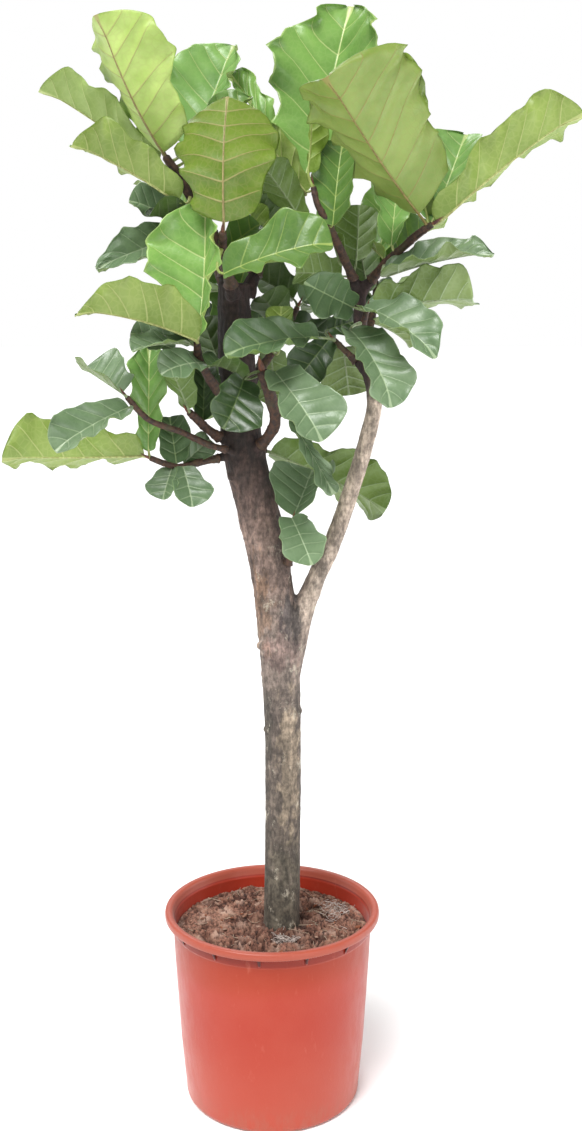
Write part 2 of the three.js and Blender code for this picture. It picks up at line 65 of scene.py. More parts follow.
# Smooth noise of about unit height: a sum of plane waves whose directions, lengths (near size)
# and phases are drawn from the seed.
def ripple(points, size, seed):
    waves = 8
    draw = np.random.default_rng(seed)
    directions = draw.normal(size=(waves, points.shape[-1]))
    directions /= np.linalg.norm(directions, axis=1)[:, None]
    pitch = fullTurn / (size * draw.uniform(0.7, 1.5, waves))
    phases = draw.uniform(0, 6.28, waves)
    return np.sin(points @ (directions * pitch[:, None]).T + phases).sum(-1) / math.sqrt(waves)


# Even turns of a ring of points.
def turns(count):
    return np.arange(count) * fullTurn / count


# Quads of a grid of points, row by row; the rows close on themselves if it wraps.
def gridFaces(rows, columns, wrap=False):
    wide = columns if wrap else columns + 1
    i, j = np.meshgrid(np.arange(rows) * wide, np.arange(columns), indexing="ij")
    k = (j + 1) % wide
    return np.stack([i + j, i + k, i + wide + k, i + wide + j], -1).reshape(-1, 4)


def unit(v):
    return v / np.linalg.norm(v, axis=-1, keepdims=True)


# A Catmull-Rom curve through the points, its ends mirrored, at shares t of its spans.
def curveAt(points, t):
    p = np.asarray(points, float)
    p = np.vstack([2 * p[0] - p[1], p, 2 * p[-1] - p[-2]])
    t = np.asarray(t, float) * (len(p) - 3)
    i = np.clip(t.astype(int), 0, len(p) - 4)
    t = (t - i)[:, None]
    a, b, c, d = p[i], p[i + 1], p[i + 2], p[i + 3]
    bend = (2 * a - 5 * b + 4 * c - d) * t**2 + (3 * b - a - 3 * c + d) * t**3
    return 0.5 * (2 * b + (c - a) * t + bend)


# Share of the curve's spans that lies the given distance along it.
def shareAt(points, distance):
    t = np.linspace(0, 1, 401)
    run = np.linalg.norm(np.diff(curveAt(points, t), axis=0), axis=1)
    return float(np.interp(distance, np.concatenate([[0], np.cumsum(run)]), t))


# A ring carried along a route and kept square to it, closed at both ends, as a shape for
# makeMesh. The radius is one number, one for each step, or one for each point.
def tube(route, radius, sides, **more):
    route = np.asarray(route, float)
    along = unit(np.gradient(route, axis=0))
    side = np.array([0.0, 1.0, 0.0] if abs(along[0][1]) < 0.8 else [1.0, 0.0, 0.0])
    sideways = []
    for step in along:
        side = unit(side - step * (side @ step))
        sideways.append(side)
    sideways = np.array(sideways)
    upward = np.cross(along, sideways)
    turn = turns(sides)[:, None]
    ring = sideways[:, None] * np.cos(turn) + upward[:, None] * np.sin(turn)
    radius = np.asarray(radius, float)
    radius = radius[:, None] if radius.ndim == 1 else radius
    points = route[:, None] + ring * np.broadcast_to(radius, (len(route), sides))[..., None]
    start, steps = np.arange(sides)[None], len(route) - 1
    faces = [gridFaces(steps, sides, wrap=True), start[:, ::-1], steps * sides + start]
    return {"points": points.reshape(-1, 3) * mm, "faces": faces, **more}


# One mesh from several shapes. A shape has points, blocks of faces, a finish number for all or
# each of the blocks, the blocks that are shaded flat, and vectors that its points carry by name.
def makeMesh(name, shapes, materials=()):
    counts = np.cumsum([0] + [len(shape["points"]) for shape in shapes])
    faces, finishes, smooth = [], [], []
    for start, shape in zip(counts, shapes):
        ofBlocks = np.broadcast_to(shape.get("finish", 0), len(shape["faces"]))
        for number, block in enumerate(shape["faces"]):
            faces += (block + start).tolist()
            finishes += [ofBlocks[number]] * len(block)
            smooth += [number not in shape.get("flat", [])] * len(block)
    mesh = bpy.data.meshes.new(name)
    mesh.from_pydata(np.concatenate([shape["points"] for shape in shapes]), [], faces)
    for material in materials:
        mesh.materials.append(material)
    mesh.polygons.foreach_set("material_index", np.array(finishes, np.int32))
    mesh.polygons.foreach_set("use_smooth", np.array(smooth, bool))
    for key in shapes[0].get("carried", {}):
        rows = [np.broadcast_to(s["carried"][key], (len(s["points"]), 3)) for s in shapes]
        layer = mesh.attributes.new(key, "FLOAT_VECTOR", "POINT")
        layer.data.foreach_set("vector", np.concatenate(rows).astype(np.float32).ravel())
    mesh.update()
    return mesh


# The mesh that an object's modifiers give; the object and its helpers are then removed.
def baked(*used):
    shaped = used[0].evaluated_get(bpy.context.evaluated_depsgraph_get())
    mesh = bpy.data.meshes.new_from_object(shaped)
    for piece in used:
        bpy.data.objects.remove(piece)
    return mesh


def place(name, mesh, slot, *replaced):
    piece = addObject(name, mesh)
    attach(piece, "root")
    if replaced:
        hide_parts(*replaced)


# A baked mesh with one material all over, shaded smooth up to an angle and put in its place.
def placeSkin(name, mesh, material, slot, replaced, smoothTo=None):
    mesh.polygons.foreach_set("use_smooth", np.ones(len(mesh.polygons), bool))
    mesh.materials.clear()
    mesh.materials.append(material)
    if smoothTo:
        mesh.set_sharp_from_angle(angle=math.radians(smoothTo))
    mesh.name = name
    mesh.update()
    place(name, mesh, slot, replaced)


# Sets a node's inputs, by name or number, to values or to sockets.
def feed(made, inputs):
    for key, value in inputs.items():
        if isinstance(value, bpy.types.NodeSocket):
            made.id_data.links.new(value, made.inputs[key])
        else:
            made.inputs[key].default_value = value
    return made


# A node in the tree of the sockets that feed it, with its settings.
def node(kind, inputs, **settings):
    tree = next(value.id_data for value in inputs.values() if isinstance(value, bpy.types.NodeSocket))
    made = tree.nodes.new("ShaderNode" + kind)
    for key, value in settings.items():
        setattr(made, key, value)
    return feed(made, inputs)


def sums(operation, a, b=0.0, c=0.0):
    return node("Math", {0: a, 1: b, 2: c}, operation=operation).outputs[0]


def times(a, b):
    return sums("MULTIPLY", a, b)


def vectorSums(operation, a, b=(0, 0, 0)):
    made = node("VectorMath", {0: a, 1: b}, operation=operation)
    return made.outputs["Value" if operation in ("LENGTH", "DISTANCE") else "Vector"]


def parts(vector):
    return node("SeparateXYZ", {0: vector}).outputs[:]


def blend(share, a, b, how="MIX"):
    a, b = [(*x, 1.0) if isinstance(x, (tuple, np.ndarray)) else x for x in (a, b)]
    return node("Mix", {0: share, 6: a, 7: b}, data_type="RGBA", blend_type=how).outputs[2]


def shaded(colour, factor):
    return blend(1.0, colour, factor, "MULTIPLY")


# A colour under layers of others: the mask, strength and tone of each, a tone in sRGB or a socket.
def layered(colour, *layers):
    for mask, strength, tone in layers:
        tone = linear(tone) if isinstance(tone, tuple) else tone
        colour = blend(times(mask, strength), colour, tone)
    return colour


# Value mapped smoothly from one range to another.
def fit(value, low, high, toLow=0.0, toHigh=1.0):
    inputs = {"Value": value, "From Min": low, "From Max": high, "To Min": toLow, "To Max": toHigh}
    return node("MapRange", inputs, interpolation_type="SMOOTHSTEP").outputs[0]


# A pattern's place, drawn out where a scale is less than 1.
def stretched(vector, upward, aside=1):
    return node("Mapping", {"Vector": vector, "Scale": (aside, aside, upward)}).outputs[0]


def noise(vector, scale, detail=3.0, rough=0.5):
    inputs = {"Vector": vector, "Scale": scale, "Detail": detail, "Roughness": rough}
    return node("TexNoise", inputs).outputs[0]


def objectPlace(tree):
    return tree.nodes.new("ShaderNodeTexCoord").outputs["Object"]


def carried(tree, name):
    made = tree.nodes.new("ShaderNodeAttribute")
    made.attribute_name = name
    return made.outputs["Vector"]


def newMaterial(name, constants={}):
    material = bpy.data.materials.new(name)
    material.use_nodes = True
    tree = material.node_tree
    return material, tree, feed(tree.nodes["Principled BSDF"], constants)


def finish(shader, colour, rough, height, strength, depth):
    bump = node("Bump", {"Height": height, "Strength": strength, "Distance": depth})
    feed(shader, {"Base Color": colour, "Roughness": rough, "Normal": bump.outputs[0]})


# A plain grained finish: noise runs from the dark tone to the light one. A light tone may be one
# that the points carry, and the dark one is then a share of it.
def makeGrained(name, grain, dark, light, span, rough, bump, stretch=1, patches=None):
    material, tree, shader = newMaterial(name)
    at = objectPlace(tree)
    grain = noise(stretched(at, stretch), *grain)
    if isinstance(light, str):
        light = carried(tree, light)
        dark = shaded(light, dark)
    else:
        dark, light = linear(dark), linear(light)
    colour = blend(fit(grain, *span), dark, light)
    if patches:
        colour = layered(colour, (fit(noise(at, 30.0, 2.0), 0.55, 0.75), 0.5, patches))
    finish(shader, colour, fit(grain, 0.3, 0.7, *rough), grain, *bump)
    return material


# A group with number and vector inputs and with masks as outputs.
def newGroup(name, inputs, outputs):
    tree = bpy.data.node_groups.new(name, "ShaderNodeTree")
    for key, value in inputs.items():
        kind = "NodeSocketVector" if isinstance(value, tuple) else "NodeSocketFloat"
        tree.interface.new_socket(key, in_out="INPUT", socket_type=kind).default_value = value
    for key in outputs:
        tree.interface.new_socket(key, in_out="OUTPUT", socket_type="NodeSocketFloat")
    return tree, tree.nodes.new("NodeGroupInput").outputs, tree.nodes.new("NodeGroupOutput")


def useGroup(tree, group, inputs={}):
    made = tree.nodes.new("ShaderNodeGroup")
    made.node_tree = group
    return feed(made, inputs).outputs


studio = {
    "cameraPlace": (0.030, -2.020, 1.230),
    "lookDown": 10.3,  # degrees below the horizon
    "lens": 42.97,
    "sensor": 36.0,
    "backdrop": 1.0,
    "roomLight": 0.33,  # what the backdrop gives to the plant, next to what it shows
    "floorTone": 0.95,
    "floorSize": 60.0,
    "sun": {"strength": 4.0, "softness": 32.0, "source": (-0.42, -0.75, 1.35)},
    "lamps": {  # place, aim, size, watts
        "fillLamp": ((1.7, -2.4, 1.2), (0.0, 0.0, 1.1), 1.4, 26.0),
        "backLamp": ((-0.5, 2.3, 2.9), (0.0, 0.0, 1.3), 2.2, 45.0),
        "leftLamp": ((-2.6, 0.5, 1.0), (0.0, 0.0, 0.8), 1.6, 15.0),
        "rightLamp": ((2.6, 0.5, 1.0), (0.0, 0.0, 0.8), 1.6, 24.0),
    },
}


def makeCamera():
    data = bpy.data.cameras.new("camera")
    data.lens = studio["lens"]
    data.sensor_width = studio["sensor"]
    camera = addObject("camera", data)
    camera.location = studio["cameraPlace"]
    camera.rotation_euler = (math.radians(90.0 - studio["lookDown"]), 0.0, 0.0)
    scene.camera = camera


def makeSun(strength, softness, source):
    data = bpy.data.lights.new("softSun", "SUN")
    data.energy = strength
    data.angle = math.radians(softness)
    addObject("softSun", data).rotation_euler = Vector(source).to_track_quat("Z", "Y").to_euler()


def makeLamp(name, at, aim, size, watts):
    data = bpy.data.lights.new(name, "AREA")
    data.size = size
    data.energy = watts
    lamp = addObject(name, data)
    lamp.location = at
    lamp.rotation_euler = (Vector(aim) - Vector(at)).to_track_quat("-Z", "Y").to_euler()


# The backdrop is white to look at and dimmer as a light, so that the leaves keep their shade.
def makeWorld():
    world = bpy.data.worlds.new("studio")
    world.use_nodes = True
    tree = world.node_tree
    seen = tree.nodes.new("ShaderNodeLightPath").outputs["Is Camera Ray"]
    tone = node("MapRange", {"Value": seen, "To Min": studio["roomLight"], "To Max": studio["backdrop"]})
    feed(tree.nodes["Background"], {"Color": (1, 1, 1, 1), "Strength": tone.outputs[0]})
    scene.world = world
    scene.view_settings.view_transform = "Standard"


makeCamera()
makeSun(**studio["sun"])
for name, lamp in studio["lamps"].items():
    makeLamp(name, *lamp)
makeWorld()
print("studio: camera and lamps")


# Each twig: its route, its radius at foot and tip, where it parts from the wood, and its leaves.
# Each leaf: its tint, where the blade starts, its tip, its width, its roll about the midrib, the
# bend of the midrib, the fold of each half, and departures from the usual outline.
stems = {
    "stem_top_left": {
        "route": [(-54, 0, 1255), (-80, -10, 1344), (-115, -20, 1407), (-149, -30, 1460)],
        "girth": (11, 6), "seat": 42, "leaves": [
            ("lime", (-151, -35, 1463), (-230, -90, 1637), 174, 18, -25, 22,
             {"waist": 0.72, "lop": 0.1, "shoulder": 0.7, "blunt": 0.5, "rib": "pink"}),
            ("young", (-166, 14, 1450), (-324, -24, 1553), 98, 6, 10, 40),
            ("olive", (-129, -60, 1393), (-267, -120, 1466), 98, 25, 15, 28, {"waist": 0.72}),
            ("young", (-121, 40, 1480), (-58, 110, 1638), 112, 18, -20, 20,
             {"lop": -0.34, "shoulder": 0.58, "waist": 0.7}),
            ("grey", (-141, 30, 1374), (-203, -10, 1400), 66, -60, 20, 20, {"waist": 0.8}),
            ("dark", (-105, -26, 1358), (-170, -62, 1376), 76, 15, 20, 20),
            ("grey", (-125, 0, 1350), (-244, -72, 1302), 86, -52, 20, 25,
             {"shoulder": 0.4, "blunt": 1, "lop": -0.15}),
            ("moss", (-108, 0, 1468), (-30, 30, 1550), 75, 30, 10, 20),
        ]},
    "stem_left": {
        "route": [(-50, -20, 1095), (-81, -60, 1138), (-99, -95, 1175), (-101, -118, 1200)],
        "girth": (8, 5), "seat": 22, "leaves": [
            ("lime", (-99, -120, 1207), (-91, -64, 1400), 128, -20, -20, 25,
             {"waist": 0.5, "lop": -0.34, "shoulder": 0.55, "blunt": 0.95}),
            ("olive", (-100, -125, 1202), (-256, -195, 1242), 120, 28, 25, 25,
             {"waist": 0.8, "blunt": 1, "shoulder": 0.45}),
            ("grey", (-112, -104, 1198), (-186, -160, 1190), 50, -20, 20, 20),
            ("grey", (-92, -96, 1170), (-148, -150, 1158), 60, -40, 40, 10),
            ("grey", (-136, -72, 1188), (-195, -98, 1212), 60, -60, 20, 20),
            ("deep", (-112, -46, 1198), (-158, -30, 1214), 45, -60, 20, 20),
        ]},
    "stem_front": {
        "route": [(-53, -22, 1265), (-64, -75, 1315), (-64, -110, 1350)],
        "girth": (9, 5), "seat": 22, "leaves": [
            ("moss", (-62, -115, 1362), (-58, -58, 1530), 160, 180, -70, 16,
             {"waist": 0.72, "shoulder": 0.64, "blunt": 0.2, "rib": "pink"}),
            ("moss", (-62, -132, 1292), (86, -155, 1334), 108, 50, 25, 15),
            ("moss", (-64, -70, 1325), (-14, -56, 1364), 66, 40, 10, 15),
        ]},
    "stem_centre": {
        "route": [(-36, 10, 1266), (-8, 30, 1332), (21, 40, 1383), (40, 40, 1420)],
        "girth": (10, 5), "seat": 34, "leaves": [
            ("lime", (51, 35, 1439), (117, 110, 1694), 190, 20, -15, 22,
             {"waist": 0.66, "blunt": 0.75, "shoulder": 0.66, "lop": -0.05,
              "bite": (-1, 0.87, 0.36, 0.06)}),
            ("olive", (52, 14, 1413), (-22, 0, 1499), 60, 55, 15, 20),
            ("deep", (47, -10, 1369), (-11, -40, 1446), 70, 50, 30, 20),
            ("lime", (34, 46, 1444), (-64, 120, 1600), 52, -30, 10, 30),
            ("young", (74, -6, 1428), (100, -6, 1470), 38, -30, 20, 30),
            ("moss", (-14, 15, 1325), (-34, 5, 1398), 64, 0, 10, 20),
            ("dark", (12, 20, 1350), (-22, 0, 1405), 62, 30, 10, 20),
        ]},
    "stem_right_inner": {
        "route": [(129, 0, 1272), (109, -30, 1312), (87, -50, 1356), (68, -60, 1389), (61, -60, 1415)],
        "girth": (7, 4), "seat": 24, "leaves": [
            ("moss", (54, -62, 1434), (58, -45, 1548), 58, 160, 20, 40),
            ("moss", (89, -60, 1361), (104, -15, 1482), 100, 0, 10, 25, {"lop": 0.12}),
            ("deep", (126, 14, 1316), (128, -10, 1394), 72, 0, -15, 15, {"waist": 0.8}),
            ("deep", (104, 14, 1294), (36, -8, 1298), 84, 50, 15, 15),
            ("deep", (100, -26, 1310), (84, -28, 1352), 46, 0, 15, 25),
        ]},
    "stem_right_outer": {
        "route": [(134, 0, 1272), (164, -30, 1308), (185, -50, 1328),
                  (210, -70, 1350), (228, -80, 1362)],
        "girth": (7, 5), "seat": 24, "leaves": [
            ("olive", (208, -85, 1375), (74, -226, 1536), 184, 29, -20, 25,
             {"waist": 0.76, "lop": -0.22, "shoulder": 0.78, "blunt": 0.42, "rib": "tan"}),
            ("olive", (235, -80, 1362), (423, -120, 1508), 110, -35, 14, 25),
            ("young", (229, -60, 1366), (285, 30, 1500), 100, 10, -10, 20),
            ("moss", (223, -55, 1374), (182, -100, 1585), 48, 15, -20, 15, {"waist": 0.8}),
            ("young", (173, -45, 1334), (188, 20, 1445), 80, 0, 10, 30),
            ("young", (168, 14, 1318), (104, 90, 1376), 48, 40, 10, 20),
            ("grey", (163, -60, 1291), (302, -150, 1320), 78, 26, 14, 22,
             {"waist": 0.95, "shoulder": 0.5, "blunt": 1}),
        ]},
    "stem_right_side": {
        "route": [(131, -6, 1190), (134, -35, 1218), (138, -55, 1245)],
        "girth": (6, 4), "seat": 18, "leaves": [
            ("deep", (118, -62, 1248), (50, -120, 1280), 84, -105, -15, 25),
            ("grey", (134, -62, 1248), (228, -160, 1182), 92, 20, 30, 20,
             {"waist": 0.8, "blunt": 1, "shoulder": 0.55}),
            ("grey", (114, -60, 1216), (170, -150, 1113), 86, 5, 40, 15, {"waist": 0.85}),
            ("grey", (146, -60, 1247), (281, -140, 1259), 102, -45, 10, 25),
        ]},
    "stem_right_low": {
        "route": [(146, 0, 1150), (121, 10, 1175), (94, 10, 1201)],
        "girth": (6, 4), "seat": 28, "leaves": [
            ("grey", (108, 25, 1190), (118, 35, 1118), 96, -40, 20, 15),
            ("dark", (86, 4, 1202), (36, -26, 1140), 74, -60, 20, 20),
            ("deep", (70, -58, 1206), (-58, -160, 1186), 80, -42, 20, 20),
            ("dark", (84, 24, 1216), (126, 38, 1228), 56, 75, 20, 20),
        ]},
    "stem_trunk_front": {
        "route": [(-24, -14, 1036), (6, -52, 1080), (0, -80, 1125), (-11, -90, 1160)],
        "girth": (8, 9), "seat": 20, "leaves": [
            ("grey", (7, -97, 1158), (73, -172, 1069), 106, 22, 20, 20, {"shoulder": 0.75}),
            ("grey", (30, -64, 1090), (92, -96, 984), 35, 60, 20, 30),
            ("dark", (-37, -110, 1147), (-62, -165, 1084), 92, -50, 20, 20),
            ("dark", (-38, -100, 1150), (-84, -140, 1170), 70, 0, 30, 20),
        ]},
    "stem_fork": {
        "route": [(22, -14, 847), (30, -40, 901), (33, -48, 938)],
        "girth": (6, 4), "seat": 26, "leaves": [
            ("grey", (34, -50, 946), (62, 0, 1010), 146, 0, -10, 25, {"lop": 0.14}),
            ("grey", (31, -57, 944), (60, -118, 886), 82, 20, 25, 25, {"lop": 0.15}),
        ]},
    "stem_trunk_right": {
        "route": [(-36, 10, 1040), (-20, 34, 1036), (-8, 42, 1033)],
        "girth": (5, 4), "seat": 26, "leaves": [
            ("deep", (-2, 42, 1031), (177, 60, 940), 116, -62, 22, 28),
        ]},
    "stem_low_left_upper": {
        "route": [(-52, -24, 1038), (-90, -58, 1052), (-128, -68, 1071),
                  (-173, -85, 1090), (-204, -95, 1124)],
        "girth": (5, 4), "seat": 20, "leaves": [
            ("grey", (-209, -96, 1129), (-269, -56, 1162), 108, -5, 0, 25),
            ("grey", (-199, -97, 1108), (-292, -180, 1056), 80, -30, 20, 20),
        ]},
    "stem_low_left": {
        "route": [(-62, -12, 1031), (-104, -35, 1024), (-137, -50, 1019), (-176, -60, 1033)],
        "girth": (6, 4), "seat": 18, "leaves": [
            ("olive", (-183, -60, 1036), (-378, -120, 1040), 122, 52, -5, 25, {"blunt": 0.75}),
            ("young", (-178, -54, 1042), (-176, -34, 1192), 66, 10, 10, 25),
            ("deep", (-138, -46, 1023), (-150, -14, 1090), 60, -10, 10, 20, {"waist": 0.85}),
            ("grey", (-128, -34, 1023), (-90, -8, 1056), 48, 65, 10, 20),
            ("grey", (-144, -50, 1017), (-156, -75, 974), 60, 0, 10, 15),
            ("grey", (-128, -52, 1019), (-112, -85, 965), 68, 0, 10, 15),
        ]},
    "stem_low_left_short": {
        "route": [(-46, -6, 1046), (-84, -32, 1066), (-117, -66, 1100)],
        "girth": (8, 5.5), "seat": 38, "leaves": [
            ("deep", (-117, -72, 1104), (-143, -110, 1172), 62, 18, 10, 20),
            ("dark", (-98, -46, 1086), (-98, 0, 1160), 56, 0, 10, 20),
        ]},
    "stem_inner": {
        "route": [(-30, 14, 1140), (0, 32, 1180), (25, 40, 1220), (40, 42, 1250)],
        "girth": (7, 4), "seat": 26, "leaves": [
            ("dark", (34, 46, 1262), (-28, 50, 1296), 92, 45, 20, 15),
            ("grey", (48, 48, 1256), (98, 86, 1296), 76, 45, 20, 15),
            ("dark", (22, 26, 1218), (-14, 8, 1266), 72, 45, 20, 15),
            ("dark", (32, 36, 1228), (100, 74, 1182), 82, 35, 25, 15),
            ("deep", (0, 40, 1186), (4, 66, 1102), 80, 0, 20, 15),
            ("moss", (14, -34, 1196), (16, -48, 1250), 48, 0, 20, 20),
        ]},
    "stem_back_top": {
        "route": [(-52, 22, 1225), (-75, 65, 1290), (-95, 105, 1345), (-100, 130, 1390)],
        "girth": (9, 5), "seat": 26, "leaves": [
            ("young", (-100, 136, 1398), (-68, 200, 1562), 115, 0, -10, 20),
            ("moss", (-106, 130, 1392), (-200, 215, 1440), 100, -20, 15, 20),
            ("moss", (-94, 132, 1385), (40, 190, 1440), 100, 10, 15, 20),
            ("deep", (-98, 118, 1350), (-190, 190, 1330), 95, 0, 30, 20),
            ("dark", (-80, 90, 1318), (0, 190, 1345), 95, 0, 30, 20),
            ("deep", (-72, 60, 1275), (-150, 110, 1250), 80, 0, 30, 20),
        ]},
    "stem_back_low": {
        "route": [(-44, 26, 1110), (-60, 75, 1135), (-70, 120, 1165), (-70, 155, 1205)],
        "girth": (8, 5), "seat": 26, "leaves": [
            ("moss", (-70, 160, 1212), (-42, 240, 1326), 116, 0, 0, 20),
            ("dark", (-76, 156, 1208), (-180, 215, 1230), 105, -35, 30, 20),
            ("deep", (-64, 156, 1205), (50, 230, 1215), 95, 10, 30, 20),
            ("deep", (-68, 125, 1165), (-150, 200, 1130), 85, 35, 30, 20),
            ("deep", (-60, 100, 1150), (30, 160, 1120), 85, 0, 30, 20),
            ("deep", (-55, 70, 1130), (-112, 120, 1078), 78, 35, 30, 20),
            ("dark", (-74, 66, 1150), (-104, 50, 1234), 64, 60, 10, 20),
        ]},
    "stem_back_right": {
        "route": [(140, 10, 1185), (150, 50, 1225), (160, 95, 1265), (160, 125, 1310)],
        "girth": (7, 4), "seat": 24, "leaves": [
            ("lime", (160, 130, 1318), (215, 190, 1468), 105, 0, 0, 20),
            ("moss", (154, 128, 1312), (40, 190, 1370), 95, -10, 20, 20),
            ("moss", (166, 126, 1310), (270, 200, 1380), 95, 10, 20, 20),
            ("deep", (156, 105, 1275), (235, 190, 1260), 90, 0, 30, 20),
            ("dark", (152, 85, 1250), (60, 150, 1245), 90, -30, 30, 20),
            ("grey", (148, 55, 1228), (215, 90, 1190), 75, 0, 30, 20),
            ("dark", (148, 88, 1272), (132, 72, 1348), 66, 45, 10, 20),
        ]},
}


# What the leaves' materials share: where the veins run on a blade, and how wide they are.
# "blade" carries the place across the blade, the count of side veins passed from the foot, and
# the gap between side veins; "flat" carries metres from the midrib, metres from the foot, and
# a number for the leaf.
def makeVeinGroup():
    widths = {"Midrib Width": 0.0009, "Vein Width": 0.0005, "Net Scale": 110.0}
    masks = ["Midrib", "Side Veins", "Valley Shade", "Net", "Margin"]
    tree, given, result = newGroup("bladeVeins", widths, masks)
    across, passed, gap = parts(carried(tree, "blade"))
    flat = carried(tree, "flat")
    outward = sums("ABSOLUTE", across)
    midrib = given["Midrib Width"]
    veinWidth = times(given["Vein Width"], fit(outward, 0.0, 1.0, 1.3, 0.5))
    toVein = sums("PINGPONG", passed, 0.5)  # from the nearest whole count, as a share of the gap
    side = fit(times(toVein, gap), veinWidth, times(veinWidth, 2.6), 1.0, 0.0)
    cells = node("TexVoronoi", {"Vector": flat, "Scale": given["Net Scale"]}, feature="DISTANCE_TO_EDGE")
    feed(result, {
        "Midrib": fit(sums("ABSOLUTE", parts(flat)[0]), midrib, times(midrib, 1.8), 1.0, 0.0),
        "Side Veins": times(side, fit(outward, 0.82, 1.0, 1.0, 0.2)),
        # where shade is painted beside each side vein
        "Valley Shade": fit(toVein, 0.0, 0.30, 1.0, 0.0),
        "Net": fit(cells.outputs[0], 0.02, 0.14, 1.0, 0.0),
        "Margin": fit(outward, 0.955, 0.99),
    })
    return tree


leafFinish = {
    # valleyShade: how strongly shade is painted beside the side veins
    "leafUpper": {"veinLift": 0.42, "netLift": 0.05, "valleyShade": 0.30, "margin": 0.25, "height": -1.0,
                  "roughness": (0.28, 0.42), "mottle": (0.60, 0.68, 0.60), "bump": 0.5},
    "leafUnder": {"veinLift": 0.60, "netLift": 0.12, "valleyShade": 0.20, "margin": 0.60, "height": 1.0,
                  "roughness": (0.40, 0.55), "mottle": (0.64, 0.72, 0.50), "bump": 0.7},
}


def makeLeafMaterial(name, veinGroup):
    look = leafFinish[name]
    material, tree, shader = newMaterial(name, {"Specular IOR Level": 0.45})
    veins = useGroup(tree, veinGroup)
    flat, tint, rib = [carried(tree, key) for key in ("flat", "tint", "rib")]
    # broad shade and small mottling between a deeper tone and the leaf's own
    cloudy = sums("MULTIPLY_ADD", noise(flat, 42.0), 0.45, noise(flat, 11.0, 2.0))
    darker = shaded(tint, look["mottle"])
    colour = layered(
        blend(fit(cloudy, 0.46, 0.90), darker, tint),
        # painted shade at the foot of the blade, next to the twig
        (fit(parts(flat)[1], 0.0, 0.07, 1.0, 0.0), 0.45, darker),  # the foot of the blade
        # painted shade in the creases beside the side veins
        (veins["Valley Shade"], look["valleyShade"], darker),
        (veins["Net"], look["netLift"], rib),
        (veins["Margin"], look["margin"], rib if name == "leafUpper" else darker),
        (veins["Side Veins"], look["veinLift"], rib),
        (veins["Midrib"], 0.7, rib),
    )
    relief = times(sums("MULTIPLY_ADD", veins["Net"], 0.18, veins["Side Veins"]), look["height"])
    relief = sums("MULTIPLY_ADD", noise(flat, 260.0, 2.0), 0.22, relief)
    rough = fit(noise(flat, 90.0, 4.0), 0.25, 0.75, *look["roughness"])
    finish(shader, colour, rough, relief, look["bump"], 0.0007)
    return material


veinGroup = makeVeinGroup()
leafMaterials = [makeLeafMaterial(name, veinGroup) for name in leafFinish]
leafMaterials.append(makeGrained("leafRib", (300.0,), (0.62, 0.56, 0.46), "rib", (0.3, 0.7),
                                 (0.42, 0.58), (0.3, 0.0004), stretch=0.25))

# upper face, underside, veins, as sRGB
tints = {
    "lime": ((122, 162, 80), (180, 202, 114), (206, 214, 146)),
    "young": ((122, 162, 86), (150, 172, 98), (184, 196, 130)),
    "olive": ((98, 136, 60), (130, 150, 72), (176, 184, 118)),
    "moss": ((94, 128, 60), (106, 130, 40), (156, 174, 94)),
    "grey": ((112, 134, 100), (124, 142, 88), (160, 178, 142)),
    "deep": ((88, 112, 76), (102, 126, 58), (140, 160, 114)),
    "dark": ((54, 76, 42), (68, 92, 38), (98, 116, 72)),
}
ribTints = {"pink": (158, 146, 96), "tan": (140, 126, 70)}

leafForm = {
    "seed": 100,
    "thickness": 0.7,
    "halfRows": [0, 0.035, 0.11, 0.22, 0.36, 0.5, 0.64, 0.77, 0.88, 0.96, 1.0],  # out from the midrib
    "cup": 25,  # degrees that each half curls up towards its margin
    "waves": 2.3,
    "waveHeight": 0.03,  # share of the length
    "scallop": 0.045,  # in and out of the margin, as a share of the half width
    "curl": 0.03,  # up and down of the margin, as a share of the length
    "pitches": (56, 50, 27),  # millimetres between scallops, between curls and between crinkles
    "drift": 0.012,  # slow unevenness, as a share of the length
    "hook": 0.035,  # the head bends back towards the underside
    "veinArc": 0.9,  # how strongly a side vein runs forward on its way to the margin
    "quilting": 0.10,  # bulge between side veins, as a share of their gap
    "ridge": 0.55,  # side veins standing out below
    "groove": 0.35,  # and sunk above
    "petiole": 2.1,  # radius
    "midribTip": 0.35,
    "controlReach": 25,  # longest way from the root to the petiole's control point
}


# Blade width at share s on one side of the midrib: a round foot, a waist that grows to the
# shoulder, a blunt head, and where the margin has a notch, a bell-shaped bite out of it.
def bladeOutline(s, side, waist=0.62, blunt=0.55, shoulder=0.7, bite=(0, 0, 0, 1)):
    foot = np.sqrt(1 - (1 - np.minimum(1, s / 0.16)) ** 2)
    grow = waist + (1 - waist) * smoothStep((s - 0.2) / (shoulder - 0.2))
    head = np.maximum(0, 1 - (np.maximum(0, s - shoulder) / (1 - shoulder)) ** 2.6) ** blunt
    biteSide, at, depth, reach = bite
    notch = depth * np.exp(-(((s - at) / reach) ** 2)) * (side == biteSide)
    return foot * grow * head * (1 - notch)


